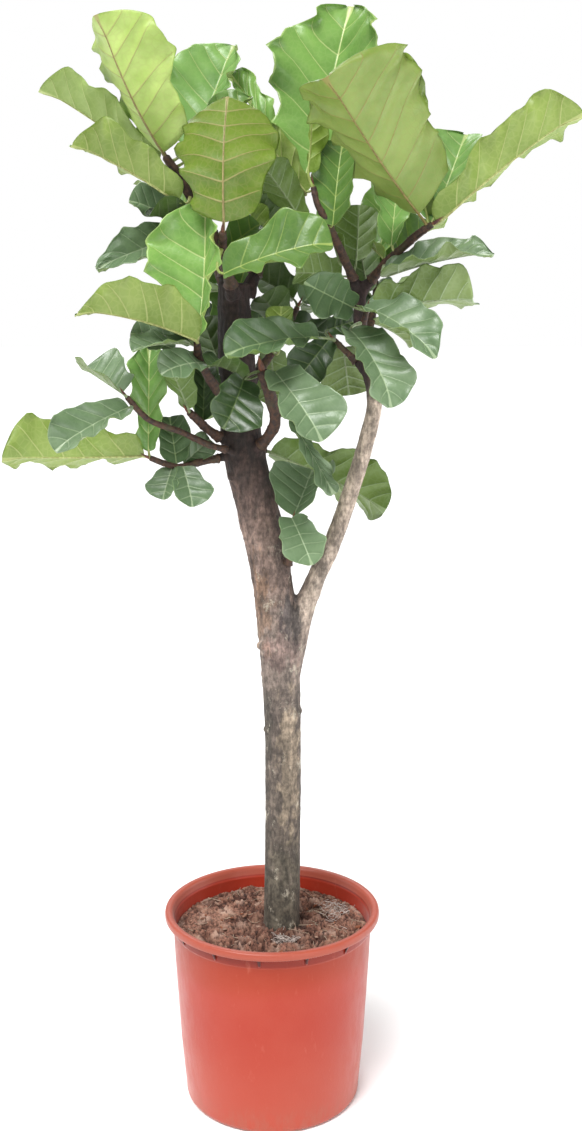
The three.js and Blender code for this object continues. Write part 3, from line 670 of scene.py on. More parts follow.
# Middle surface of a blade at share s along it and v across it, -1 to 1. The midrib is an arc
# from root to tip; each half lifts from it at the fold angle and curls up by the cup angle, so
# that a point lies on a circle, and its margin waves as a sine of s. It gives the points, their
# normals, how far they lie from the midrib, and the way that the midrib leaves its root.
def bladeSurface(rootAt, tipAt, width, roll, arch, fold, outline, lop, phase, s, v):
    start = np.array(rootAt, float)
    chord = np.array(tipAt, float) - start
    length = np.linalg.norm(chord)
    a = chord / length
    n0 = unit(np.array([0, 0, 1.0]) - a * a[2])
    e0 = np.cross(a, n0)
    c, d = math.cos(math.radians(roll)), math.sin(math.radians(roll))
    n, e = n0 * c + e0 * d, e0 * c - n0 * d
    bend = math.radians(arch if abs(arch) > 0.5 else 0.5)
    f, k = math.radians(fold), math.radians(leafForm["cup"])
    q, sg = np.abs(v), np.sign(v)
    th = bend * (0.5 - s)
    half = math.sin(bend / 2)
    alongRib = (length * (half - np.sin(th)) / (2 * half))[..., None]
    offRib = (length * (np.cos(th) - math.cos(bend / 2)) / (2 * half))[..., None]
    m = n * np.cos(th)[..., None] - a * np.sin(th)[..., None]
    full = bladeOutline(s, sg, **outline)
    w = np.maximum(full * width / 2, 1.5) * (1 + lop * sg)
    aside = w * (np.sin(f + k * q) - np.sin(f)) / k
    rise = w * (np.cos(f) - np.cos(f + k * q)) / k
    wave = np.sin(fullTurn * leafForm["waves"] * s + phase + 0.9 * sg) * np.minimum(1, full * 1.5)
    rise = rise + leafForm["waveHeight"] * length * q**1.6 * wave
    points = start + a * alongRib + n * offRib + e * (sg * aside)[..., None] + m * rise[..., None]
    tilt = np.where(q > 0, f + k * q, 0)[..., None]
    normal = m * np.cos(tilt) - e * sg[..., None] * np.sin(tilt)
    return points, normal, w * v, a * math.cos(bend / 2) + n * half


# Rows that follow the side veins: each gap between two veins has five rows, close together
# at the veins.
def veinRows(length):
    veins = 4 + (length > 70) + (length > 110) + (length > 165)
    steps = [0, 0.07, 0.26, 0.5, 0.74, 0.93] if length > 70 else [0, 0.1, 0.5, 0.9]
    rows = np.concatenate([(k + np.array(steps)) / veins for k in range(veins)])
    return np.unique(np.concatenate([rows, [0.006, 0.018, 0.035, 0.955, 0.975, 0.99, 1.0]])), veins


# One leaf: a thin closed blade, quilted between its veins, with a tube below it for the midrib
# that runs on as the petiole into the twig.
def leafShapes(leaf, order, index, twig, draw):
    form = leafForm
    tint, rootAt, tipAt, *bent, more = leaf if isinstance(leaf[-1], dict) else (*leaf, {})
    outline = {key: value for key, value in more.items() if key not in ("rib", "lop")}
    phase = 1.7 * index + 2.3 * order
    length = math.dist(rootAt, tipAt)
    rows, veins = veinRows(length)
    half = np.array(form["halfRows"])
    if length < 100:
        half = half[[0, 1, 3, 5, 7, 9, 10]]  # small leaves have fewer rows
    r, v = np.meshgrid(rows, np.concatenate([-half[:0:-1], half]), indexing="ij")
    q, sg = np.abs(v), np.sign(v)
    # each side vein has its own lean and its own place along the margin
    leans = form["veinArc"] * (1 + draw.uniform(-0.3, 0.3, (2, veins + 1)))
    shifts = draw.uniform(-0.22, 0.22, (2, veins + 1)) / veins
    lean, shift = [np.where(v < 0, *[np.interp(r * veins, np.arange(veins + 1), side) for side in sides])
                   for sides in (leans, shifts)]
    s = 1 - (1 - r) ** (1 + lean * q**1.25)
    s = np.clip(s + 6 * r * (1 - r) ** 2 * shift * q**0.7, 0, 1)
    s = np.maximum.accumulate(s, axis=0)
    # margin: slow scallops in and out, quicker curls up and down, a head that bends back
    long, medium, short = [fullTurn * length / pitch * s for pitch in form["pitches"]]
    p1, p2, p3, p4 = draw.uniform(0, 6.28, 4)
    ragged = np.sin(long + p1 + sg) + 0.5 * np.sin(short + p2 - sg)
    across = v * (1 + form["scallop"] * q**2 * ragged)
    surface, normal, aside, rootward = bladeSurface(rootAt, tipAt, *bent, outline, more.get("lop", 0),
                                                    phase, s, across)
    curl = np.sin(medium + p3 + 2 * sg) + 0.6 * np.sin(short + p4 - sg)
    curl = form["curl"] * length * q**5 * curl * np.minimum(1, 6 * s * (1 - s) + 0.2)
    curl = curl - form["hook"] * length * smoothStep((s - 0.8) / 0.2) ** 1.5
    gap = length / veins
    between = np.abs(np.sin(math.pi * r * veins))
    inside = np.minimum(1, 6 * r * (1 - r))
    bulge = form["quilting"] * gap * between**1.4 * inside * np.sin(math.pi * np.minimum(q, 1)) ** 0.6
    unevenness = ripple(np.stack([s, v, s * v], -1), 0.8, draw.integers(1 << 30))
    drift = form["drift"] * length * unevenness * q * np.sqrt(s)
    middle = surface + normal * (bulge + drift + curl)[..., None]
    onVein = np.maximum(0, 1 - between / 0.25) * inside * (1 - 0.7 * q)
    above = middle + normal * (form["thickness"] / 2 - form["groove"] * onVein)[..., None]
    below = middle - normal * (form["thickness"] / 2 + form["ridge"] * onVein)[..., None]
    high, wide = r.shape
    size = high * wide
    faces = gridFaces(high - 1, wide - 1)
    grid = np.arange(size).reshape(high, wide)
    rim = np.concatenate([grid[0, :-1], grid[:-1, -1], grid[-1, :0:-1], grid[:0:-1, 0]])
    rimFaces = np.stack([np.roll(rim, -1), rim, rim + size, np.roll(rim, -1) + size], -1)
    upper, under, rib = [linear(tone) for tone in tints[tint]]
    rib = linear(ribTints[more["rib"]]) if "rib" in more else rib
    shade = 1 + draw.uniform(-0.06, 0.06)
    onBlade = np.stack([v, r * veins, np.full(r.shape, gap * mm)], -1)
    onFlat = np.stack([aside * mm, s * length * mm, np.full(r.shape, index + 8.0 * order)], -1)
    blade = {
        "points": np.concatenate([above, below]).reshape(-1, 3) * mm,
        "faces": [faces, size + faces[:, [0, 3, 2, 1]], rimFaces],
        "finish": [0, 1, 1],
        "flat": [2],
        "carried": {
            "tint": np.repeat([upper * shade, under * shade], size, axis=0),
            "rib": rib,
            "blade": np.tile(onBlade.reshape(-1, 3), (2, 1)),
            "flat": np.tile(onFlat.reshape(-1, 3), (2, 1)),
        },
    }
    # the petiole is a curve from the nearest point of the twig, by a control point behind the
    # blade's root, to a twelfth of the way along the blade
    places = curveAt(twig["route"], np.linspace(twig["parts"], 0.985, 61))
    rootAt = np.array(rootAt, float)
    far = np.linalg.norm(places - rootAt, axis=1)
    foot, reach = places[far.argmin()], far.min()
    ribAt = np.linspace(0.08, 0.965, 15)
    column = half.size - 1
    spine, spineUp = [
        np.stack([np.interp(ribAt, r[:, column], field[:, column, i]) for i in range(3)], -1)
        for field in (middle, normal)]
    stalk, tip = form["petiole"], form["midribTip"]
    thin = tip + (stalk * min(1, 0.55 + length / 400) * 0.8 - tip) * (1 - ribAt)
    spine = spine - unit(spineUp) * (thin * 0.72)[:, None]
    b = np.linspace(0, 1, 9)[:-1, None]
    control = rootAt - rootward * min(0.5 * reach, form["controlReach"])
    route = foot * (1 - b) ** 2 + 2 * control * b * (1 - b) + spine[0] * b**2
    b = b[:, 0]
    radius = thin[0] + (stalk * 1.12 - thin[0]) * (1 - b) ** 0.8
    radius = np.concatenate([radius + 0.7 * np.exp(-((b - 0.1) / 0.12) ** 2), thin])
    tones = {"tint": under, "rib": rib * 0.92, "blade": np.zeros(3), "flat": np.zeros(3)}
    return [blade, tube(np.vstack([route, spine]), radius, 8, finish=2, carried=tones)]


def makeLeaves(name, order):
    stem = stems[name]
    draw = np.random.default_rng(leafForm["seed"] + order)
    twig = {"route": stem["route"], "parts": shareAt(stem["route"], stem["seat"] + 0.3) + 0.04}
    shapes = []
    for index, leaf in enumerate(stem["leaves"]):
        shapes += leafShapes(leaf, order, index, twig, draw)
    slot = "leaf_young" if name in youngStems else "leaf"
    place(name + "_leaves", makeMesh(name + "_leaves", shapes, leafMaterials), slot, name)


youngStems = ["stem_top_left", "stem_left", "stem_front", "stem_centre", "stem_right_outer"]
for order, name in enumerate(stems):
    makeLeaves(name, order)
print("leaves:", sum(len(stem["leaves"]) for stem in stems.values()))


barkLook = {
    "voxel": 2.4,
    "seed": 300,
    "twigSides": 12,
    "leafScarGap": 26,  # between the rings that fallen leaves left on a twig
    # furrows, wrinkles and lumps: depth in millimetres, stretch, and size in metres
    "relief": [(0.55, [1, 1, 0.12], 0.010), (0.30, [1, 1, 0.3], 0.005), (0.7, [1, 1, 1], 0.045)],
    "ringDepth": 0.6,
    "ringGap": 0.031,
    # grey-brown below, reddish-brown above, near-black at the top as painted shade under the crown:
    # shares of the way up, and tones there
    "tones": [(0.0, (92, 84, 74)), (0.1, (98, 88, 79)), (0.29, (101, 90, 82)), (0.443, (146, 131, 121)),
              (0.592, (110, 93, 85)), (0.69, (138, 117, 107)), (0.75, (100, 82, 75)),
              (0.83, (54, 42, 38)), (1.0, (32, 25, 23))],
    # painted shade down the right side of the upper trunk
    "sideShade": (58, 42, 40),
    "limb": (174, 158, 144),
    "lichen": (192, 184, 166),
    # blotches, finer specks, long streaks and rings: stretch upward and aside, noise, and the
    # span of the noise that goes from a dark factor to a light one
    "mottles": [
        (0.42, 1, (62.0, 7.0, 0.68), (0.36, 0.64, 0.60, 1.25)),
        (0.55, 1, (190.0, 5.0, 0.65), (0.36, 0.64, 0.60, 1.26)),
        (0.07, 1, (120.0, 5.0, 0.6), (0.35, 0.65, 0.80, 1.10)),
        (1, 0.25, (110.0, 4.0, 0.6), (0.35, 0.65, 0.84, 1.12)),
    ],
    # stains: centre and reach in metres, tone, strength
    "stains": [
        ((-0.022, -0.030, 0.800), (0.026, 0.03, 0.075), (146, 112, 84), 0.42),
        ((-0.034, -0.020, 0.745), (0.016, 0.03, 0.040), (190, 170, 144), 0.4),
        ((0.012, -0.030, 0.735), (0.030, 0.03, 0.040), (120, 94, 90), 0.5),
        ((0.030, -0.020, 0.785), (0.016, 0.04, 0.040), (62, 60, 62), 0.7),
        ((-0.008, -0.020, 0.620), (0.010, 0.03, 0.080), (70, 68, 60), 0.55),
        ((0.028, -0.025, 0.560), (0.018, 0.03, 0.130), (176, 158, 134), 0.40),
        ((0.016, -0.030, 0.330), (0.040, 0.05, 0.090), (84, 80, 66), 0.45),
    ],
}

# each with its route, its radius evenly along it, its steps and its sides
wood = {
    "trunk": ([(14, 0, 150), (15, 0, 270), (17, 0, 420), (17, 0, 600), (13, 0, 720), (0, 0, 850),
               (-23, 0, 963), (-42, 0, 1040), (-47, 0, 1113), (-52, 0, 1216), (-54, 0, 1282)],
              [30, 29, 28, 28, 30, 31, 31, 31, 28, 26, 22], 90, 40),
    "limb": ([(20, 0, 690), (44, 0, 780), (70, 0, 848), (95, 0, 903), (130, 0, 1009), (152, 0, 1090),
              (153, 0, 1125), (143, 0, 1170), (133, 0, 1216), (131, 0, 1276)],
             [24, 18, 14, 13.5, 12.5, 11.5, 11, 10.5, 10, 8], 70, 28),
}

# centre and radius
knots = [((-6, -12, 608), 8), ((40, -6, 636), 8), ((-14, -16, 742), 9), ((24, -20, 455), 8),
         ((-58, -14, 1000), 9), ((-18, -22, 905), 10)]


# A mask that is 1 about a place and fades, with a broken edge, at a distance from it.
def makeStainGroup():
    inputs = {"Centre": (0, 0, 0), "Reach": (0.03, 0.03, 0.03), "Broken": 0.5, "Scale": 60.0}
    tree, given, result = newGroup("stain", inputs, ["Mask"])
    at = objectPlace(tree)
    away = vectorSums("DIVIDE", vectorSums("SUBTRACT", at, given["Centre"]), given["Reach"])
    ragged = noise(stretched(at, 0.45), given["Scale"], 5.0, 0.6)
    ragged = times(sums("SUBTRACT", ragged, 0.5), given["Broken"])
    mask = fit(sums("MULTIPLY_ADD", ragged, 3.0, vectorSums("LENGTH", away)), 0.6, 1.1, 1.0, 0.0)
    feed(result, {"Mask": mask})
    return tree


def makeBarkMaterial():
    material, tree, shader = newMaterial("bark")
    at = objectPlace(tree)
    aside, _, height = parts(at)
    # tones up the trunk; the darkest, at the top, are painted shade under the crown
    ramp = node("ValToRGB", {0: fit(height, 0.25, 1.30)})
    stops = ramp.color_ramp.elements
    for number, (share, rgb) in enumerate(barkLook["tones"]):
        stop = stops[number] if number < 2 else stops.new(share)
        stop.position = share
        stop.color = (*linear(rgb), 1.0)
    # the limb on the right is pale and tan, less so high up; the trunk leans to the left above the fork,
    # and its right side there is darkened with painted shade
    limb = fit(sums("MULTIPLY_ADD", height, -0.33, aside), -0.235, -0.215)
    limb = times(limb, fit(height, 0.74, 0.80))
    sideShade = fit(sums("MULTIPLY_ADD", height, 0.221, aside), 0.192, 0.220)
    sideShade = times(times(sideShade, fit(height, 0.80, 0.90)), sums("SUBTRACT", 1.0, limb))
    layers = [(sideShade, 0.7, barkLook["sideShade"]),
              (limb, fit(height, 1.10, 1.20, 1.0, 0.35), barkLook["limb"])]
    stain = makeStainGroup()
    for centre, reach, rgb, strength in barkLook["stains"]:
        mask = useGroup(tree, stain, {"Centre": centre, "Reach": reach, "Broken": 1.1, "Scale": 90.0})[0]
        layers.append((mask, strength, rgb))
    colour = layered(ramp.outputs[0], *layers)
    masks = []
    for upward, sideways, grain, span in barkLook["mottles"]:
        masks.append(noise(stretched(at, upward, sideways), *grain))
        colour = shaded(colour, fit(masks[-1], *span))
    blotch, speck, streak = masks[:3]
    lichen = fit(noise(stretched(at, 0.7), 48.0, 8.0, 0.75), 0.57, 0.66)
    colour = layered(colour, (times(lichen, fit(height, 1.0, 0.8)), 0.6, barkLook["lichen"]))
    relief = sums("MULTIPLY_ADD", speck, 0.7, sums("MULTIPLY_ADD", blotch, 0.8, streak))
    finish(shader, colour, fit(blotch, 0.3, 0.7, 0.78, 0.95), relief, 0.9, 0.0022)
    return material


twigMaterials = [
    makeGrained("twigBark", (180.0, 5.0, 0.6), (38, 25, 20), (84, 58, 44), (0.32, 0.68), (0.62, 0.8),
                (0.6, 0.0010), patches=(70, 68, 40)),
    makeGrained("budScale", (240.0, 4.0), (72, 38, 30), (122, 76, 52), (0.35, 0.7), (0.5, 0.7),
                (0.4, 0.0005), stretch=0.3),
]


# Twigs: the radius runs evenly from foot to tip and swells in a ring at each leaf scar.
def makeTwig(name, order):
    stem = stems[name]
    draw = np.random.default_rng(barkLook["seed"] + order)
    foot, tip = stem["girth"]
    t = np.linspace(shareAt(stem["route"], stem["seat"] + 0.3), 1, 60)
    route = curveAt(stem["route"], t)
    run = np.concatenate([[0], np.cumsum(np.linalg.norm(np.diff(route, axis=0), axis=1))])
    radius = foot + (tip - foot) * t
    for ring in np.arange(8, run[-1], barkLook["leafScarGap"]) + draw.uniform(-5, 5):
        radius = radius + 0.10 * foot * np.exp(-((run - ring) / 1.8) ** 2)
    radius = (radius + 0.35 * foot * np.exp(-run / 6))[:, None]
    sides = barkLook["twigSides"]
    turn, run = turns(sides), run[:, None]
    radius = radius * (1 + 0.05 * np.sin(2 * turn + run / 9) + 0.03 * np.sin(5 * turn + run / 5))
    radius[-1] *= 0.55
    twig = tube(route, radius, sides)
    # the bud: a pointed sheath at the twig's end
    along = unit(route[-1] - route[-4])
    b = np.linspace(0, 1, 10)[:, None]
    spine = route[-1] - along * 2 + along * (12 + 1.2 * tip) * b + np.array([1.5, -1, 2.0]) * b**2
    girth = tip * 0.62 * np.sin(np.pi * (0.30 + 0.66 * b)) ** 1.2 * (1 - 0.4 * b)
    bud = tube(spine, np.maximum(girth, 0.3), 8, finish=1)
    place(name + "_twig", makeMesh(name + "_twig", [twig, bud], twigMaterials), "bark")


for order, name in enumerate(stems):
    makeTwig(name, order)
print("twigs:", len(stems))


# Trunk, limb and the feet of the twigs, joined by a fine remesh into one skin.
def makeTrunk():
    shapes = []
    for route, radii, steps, sides in wood.values():
        t = np.linspace(0, 1, steps)
        radius = np.interp(t * (len(radii) - 1), np.arange(len(radii)), radii)
        shapes.append(tube(curveAt(route, t), radius, sides))
    for stem in stems.values():
        seat = shareAt(stem["route"], stem["seat"])
        t = np.linspace(0, seat, 14)
        foot, tip = stem["girth"]
        radius = (foot + (tip - foot) * t) * (1.35 - 0.35 * t / seat)
        shapes.append(tube(curveAt(stem["route"], t), radius, 16))
    # a web of bark fills the crotch of the fork
    b = np.linspace(0, 1, 12)[:, None]
    shapes.append(tube(np.array([20, 0, 742.0]) + np.array([14, 0, 62.0]) * b, 17 - 12 * b, 16))
    for centre, radius in knots:
        b = np.linspace(0, math.pi, 9)[1:-1, None]
        spine = np.array(centre, float) - np.array([0, 0, 0.8]) * radius * np.cos(b)
        shapes.append(tube(spine, np.sin(b) * radius, 12))
    rough = addObject("roughWood", makeMesh("roughWood", shapes))
    remesh = rough.modifiers.new("skin", "REMESH")
    remesh.mode = "VOXEL"
    remesh.voxel_size = barkLook["voxel"] * mm
    remesh.use_smooth_shade = True
    relax = rough.modifiers.new("relax", "SMOOTH")
    relax.factor = 0.5
    relax.iterations = 6
    skin = baked(rough)
    points, normals = np.zeros((2, 3 * len(skin.vertices)), np.float32)
    skin.vertices.foreach_get("co", points)
    skin.vertex_normals.foreach_get("vector", normals)
    points, normals = points.reshape(-1, 3).astype(float), normals.reshape(-1, 3)
    # the bark's relief with faint rings of old leaf scars, shallower on the limb
    relief = sum(depth * ripple(points * stretch, size, seed)
                 for seed, (depth, stretch, size) in enumerate(barkLook["relief"], 1))
    ringAt = points[:, 2] + 0.002 * ripple(points, 0.03, 4)
    rings = np.sin(ringAt * fullTurn / barkLook["ringGap"] + ripple(points * [0, 0, 1], 0.12, 5))
    relief = relief + barkLook["ringDepth"] * np.maximum(0, rings) ** 6
    onLimb = points[:, 0] > 0.33 * points[:, 2] - 0.235
    points = points + normals * (relief * np.where(onLimb, 0.45, 1.0) * mm)[:, None]
    skin.vertices.foreach_set("co", points.astype(np.float32).ravel())
    placeSkin("trunk_skin", skin, makeBarkMaterial(), "bark", "trunk")
    print("trunk:", len(points), "points")


makeTrunk()


potShape = {
    "height": 312,
    "rim": 170,
    "rimDepth": 12,
    "skirt": 3.2,
    "wall": 3.2,
    "floor": 4,
    "body": [(138.9, 8), (146.8, 97), (154.8, 236), (157, 290)],  # radius and height
    "hoopLine": 282,
    "ribs": 14,
    "ribTurn": -6.2,  # degrees from the front to the nearest rib
    "ribDrop": 17,
    "ribStand": 8.5,
    "ribWide": 3.6,
    "ribRoot": 156.4,  # let into the wall
    "drainHoles": 6,
    "drainRadius": 7,
    "drainCircle": 92,
    "around": 560,
}

potFinish = {
    "body": (160, 50, 12),
    "under": (134, 34, 14),  # painted shadow of the rim: the band between the rim and the hoop line
    # painted shade inside the pot
    "inside": (160, 48, 28),
    "rim": (156, 72, 54),
    # painted shade: the ribs stand in the shadow under the rim
    "rib": (70, 6, 3),
    "faded": (176, 84, 64),
    "scuffed": (190, 112, 94),
    "dust": (148, 94, 76),
    "line": (104, 34, 26),  # painted shadow where the wall meets the rim
}


def makePotMaterial():
    tone = potFinish
    material, tree, shader = newMaterial("potPlastic", {"Sheen Weight": 0.13, "Sheen Roughness": 0.4,
                                                        "Specular IOR Level": 0.36})
    at = objectPlace(tree)
    height = parts(at)[2]
    radius = vectorSums("LENGTH", vectorSums("MULTIPLY", at, (1, 1, 0)))
    # painted shadow under the rim: darker up the wall towards it, darkest between the rim and the hoop
    # line
    rimShade = sums("MAXIMUM", fit(height, 0.15, 0.28, 0.0, 0.40), fit(height, 0.281, 0.285))
    cloud = noise(at, 9.0, 4.0, 0.55)
    scuff = noise(stretched(at, 0.35), 70.0, 6.0, 0.7)
    colour = layered(
        linear(tone["body"]),
        (rimShade, 1.0, tone["under"]),
        # painted shadow just under the rim's skirt
        (fit(height, 0.2945, 0.2985), 0.5, tone["line"]),
        (fit(height, 0.2990, 0.3000), 1.0, tone["rim"]),
        # painted shade on the inside of the wall
        (fit(radius, 0.1558, 0.1540), 1.0, tone["inside"]),
        (fit(cloud, 0.40, 0.75), 0.16, tone["faded"]),
        (fit(height, 0.20, 0.02), 0.40, tone["faded"]),  # paler towards the foot
        (fit(scuff, 0.58, 0.74), 0.25, tone["scuffed"]),
        # a rib stands further out than the wall and lower than the rim; its dark tone is painted shade
        # under the rim
        (fit(radius, 0.1590, 0.1598), fit(height, 0.2995, 0.2990), tone["rib"]),
        # dust settles low on the wall
        (times(fit(height, 0.06, 0.0), fit(scuff, 0.40, 0.62)), 0.4, tone["dust"]),
    )
    relief = sums("MULTIPLY_ADD", cloud, 3.0, noise(at, 420.0, 2.0))
    finish(shader, colour, fit(scuff, 0.35, 0.7, 0.34, 0.50), relief, 0.25, 0.0006)
    return material


# A rib: a wedge that stands out under the rim and runs down to nothing, let into the wall. Each
# level has six points, from one side of the root over the rounded back to the other.
def ribShape(number):
    shape = potShape
    turn = math.radians(shape["ribTurn"]) + number * fullTurn / shape["ribs"] - math.pi / 2
    outward = np.array([math.cos(turn), math.sin(turn), 0])
    aside = np.array([-math.sin(turn), math.cos(turn), 0]) * shape["ribWide"] / 2
    top = shape["height"] - shape["rimDepth"] + 1.5
    drop, root, stand = shape["ribDrop"], shape["ribRoot"], shape["ribStand"]
    rows = []
    for share, level in ((0, top - drop), (0.45, top - 0.55 * drop), (0.9, top - 2), (1, top)):
        back = root + 1.6 + stand * share
        edge = back - 0.5
        for side, far in ((-1, root), (-1, edge), (-0.6, back), (0.6, back), (1, edge), (1, root)):
            rows.append(outward * far + aside * side + np.array([0, 0, level]))
    ends = [np.arange(6)[None, ::-1], 18 + np.arange(6)[None]]
    return {"points": np.array(rows) * mm, "faces": [gridFaces(3, 6, wrap=True), *ends]}


# The pot's wall as one turned profile: points close together where it curves, each given as
# radius and height, from the middle of the foot up the outside and down the inside.
def makePot():
    shape = potShape
    top, rim, floor, line = shape["height"], shape["rim"], shape["floor"], shape["hoopLine"]
    lip, skirt = top - shape["rimDepth"], rim - shape["skirt"]
    heights, radii = np.array(shape["body"], float).T[::-1]
    z = np.concatenate([np.linspace(12, 276, 34), line + np.array([-2, 0, 0.8, 1.6, 3]),
                        np.linspace(288, lip - 4, 5)])
    outer = np.stack([np.interp(z, heights, radii), z], -1)
    foot = [(0, 0), (60, 0), (110, 0), (127, 0), (132, 0.6), (136, 2.6), (138.3, 5.6), (139.2, 9)]
    under = [(157.6, lip - 2), (158.2, lip + 2), (159.4, top - 6), (161.6, top - 4.6),
             (164.6, top - 4.7), (166.2, top - 5.8), (skirt, top - 8), (skirt - 0.6, lip + 1),
             (skirt + 0.1, lip), (rim - 1.8, lip), (rim - 0.7, lip + 0.7), (rim - 0.2, lip + 2.0)]
    edge = [(rim + 0.1, lip + 4), (rim + 0.1, top - 6)]
    edge += [(rim - 4.6 + 4.5 * math.cos(a), top - 4.6 + 4.6 * math.sin(a))
             for a in np.linspace(0, math.pi / 2, 6)]
    inside = [(163, top), (160.4, top - 0.5), (158.2, top - 2.4), (156.6, top - 6), (155.2, lip - 2)]
    inner = (outer - [shape["wall"], 0])[::-1]
    base = [(134.5, 6.6), (132, 4.4), (128, floor), (60, floor), (0, floor)]
    profile = np.array([*foot, *outer, *under, *edge, *inside, *inner, *base])[1:-1]
    around, count = shape["around"], len(profile)
    angle = turns(around)
    ring = np.repeat(profile[:, :1], around, axis=1)
    high = np.repeat(profile[:, 1:], around, axis=1)
    # the wall is a little thicker above the hoop line where the ribs end
    outside = slice(len(foot) - 1, len(foot) - 1 + len(outer))
    ring[outside] += 0.7 * smoothStep((high[outside] - line) / 1.6)
    ring += 0.35 * np.sin(2 * angle + 0.5) * smoothStep((high - 60) / 200)  # not quite round
    rings = np.stack([ring * np.cos(angle), ring * np.sin(angle), high], -1).reshape(-1, 3)
    last, middle = (count - 1) * around, np.full(around, count * around)
    this, after = np.arange(around), np.roll(np.arange(around), -1)
    start = np.stack([middle, after, this], -1)
    end = np.stack([middle + 1, last + this, last + after], -1)
    shell = {"points": np.vstack([rings, [[0, 0, 0], [0, 0, floor]]]) * mm,
             "faces": [gridFaces(count - 1, around, wrap=True), start, end]}
    rough = addObject("roughPot", makeMesh("roughPot", [shell]))
    cutters = []
    for turn in turns(shape["drainHoles"]) + math.pi / 6:
        centre = np.array([math.cos(turn), math.sin(turn), 0]) * shape["drainCircle"]
        axis = centre + np.array([[0, 0, -6.0], [0, 0, 12.0]])
        cutters.append(tube(axis, [shape["drainRadius"]] * 2, 32))
    cut = rough.modifiers.new("holes", "BOOLEAN")
    cut.object = addObject("cutter", makeMesh("cutter", cutters))
    cut.solver = "EXACT"
    mesh = baked(rough, cut.object)
    # the ribs join the shell after its holes are cut
    joined = bmesh.new()
    joined.from_mesh(mesh)
    joined.from_mesh(makeMesh("ribs", [ribShape(number) for number in range(shape["ribs"])]))
    joined.to_mesh(mesh)
    joined.free()
    placeSkin("pot_shell", mesh, makePotMaterial(), "pot_plastic", "pot", smoothTo=35)


makePot()
print("pot")


soilShape = {
    "seed": 21,
    "top": 279,
    "reach": 152.2,  # out to the wall at the top
    # the wall's inside narrows downwards: radius and height on the way down and in along the floor
    "side": [(151.2, 236), (143.2, 97), (137.4, 26), (130, 6.6), (90, 4.6)],
    "rings": 110,
    "around": 300,
    "clods": 150,
    "clodSize": 13,
    "chips": 150,
    "chipReach": 147,
    "clear": 36,  # no chips this near the trunk
    "fibres": 230,
    "fibreReach": 140,
    "tufts": [(106, 44, 15), (20, -62, 9)],  # middle and spread of the pale fibres
    "trunkFoot": (15, 0),
    "trunkRadius": 29.4,
    "trunkEnd": 149,
}

soilFinish = {
    "dark": (70, 44, 34),
    "light": (138, 98, 80),
    "clod": (156, 122, 102),
    "dry": (178, 154, 138),
    "browns": [(112, 74, 56), (86, 54, 42), (146, 108, 88), (162, 130, 112), (68, 44, 36),
               (140, 82, 54)],
    "fibre": (186, 164, 142),
    "tuft": (206, 192, 184),
}

# place, size and tone: a rust-coloured chip left of the trunk, a pale one behind, one in front
bigChips = [
    ((-42, -40, 276), (13, 8, 4), (172, 98, 58)),
    ((78, -28, 276), (12, 9, 5), (170, 158, 148)),
    ((-70, 30, 278), (12, 9, 5), (150, 116, 96)),
    ((30, -96, 274), (11, 7, 4), (128, 92, 74)),
    ((100, 40, 276), (12, 8, 4), (140, 106, 88)),
]


def makeSoilMaterial():
    tone = soilFinish
    material, tree, shader = newMaterial("soil")
    at = objectPlace(tree)
    crumb = noise(at, 210.0, 8.0, 0.75)
    dry, creaseShade = parts(carried(tree, "soilTone"))[:2]
    colour = layered(
        blend(fit(crumb, 0.38, 0.60), linear(tone["dark"]), linear(tone["light"])),
        (fit(noise(at, 42.0, 5.0, 0.65), 0.48, 0.64), 0.75, tone["clod"]),
        (fit(dry, 0.6, 1.0), 0.5, tone["dry"]),
    )
    # darker round the trunk; painted shade in the creases between clods
    fromTrunk = vectorSums("DISTANCE", vectorSums("MULTIPLY", at, (1, 1, 0)), (0.015, 0, 0))
    colour = shaded(colour, blend(fit(fromTrunk, 0.03, 0.11), (0.62, 0.55, 0.53), (1.10, 1.08, 1.10)))
    colour = blend(fit(creaseShade, 0.0, 1.0), shaded(colour, (0.34, 0.26, 0.23)), colour)
    finish(shader, colour, fit(crumb, 0.3, 0.7, 0.86, 0.98), crumb, 0.7, 0.0022)
    return material


# Height of the soil without its clods, in millimetres: crossed sines, heaped round the trunk's
# foot and drawn up against the wall behind.
def soilHeight(x, y):
    swell = 3.2 * np.sin(x / 21 + 0.6) * np.cos(y / 17) + 2.4 * np.sin(x / 9.5 + y / 13)
    swell = swell + 1.6 * np.cos(y / 8 - x / 15) + 7 * np.exp(-((x - 15) ** 2 + y**2) / 2600)
    return soilShape["top"] + swell * (1 - np.minimum(np.hypot(x, y) / 152, 1) ** 8)


# Height and hollowness from the nearest clod: a dome over each seeded centre, so that the
# creases lie halfway between centres.
def clodHeight(x, y, centres, sizes):
    first, second = np.full((2, *x.shape), 1e9)
    lift = np.zeros(x.shape)
    for (cx, cy), size in zip(centres, sizes):
        away = np.hypot(x - cx, y - cy) / size
        nearer = away < first
        second = np.where(nearer, first, np.minimum(second, away))
        lift = np.where(nearer, size, lift)
        first = np.where(nearer, away, first)
    crease = smoothStep((second - first) / 0.6)
    return lift * 0.58 * crease * (1 - 0.5 * np.minimum(first, 1) ** 2), crease


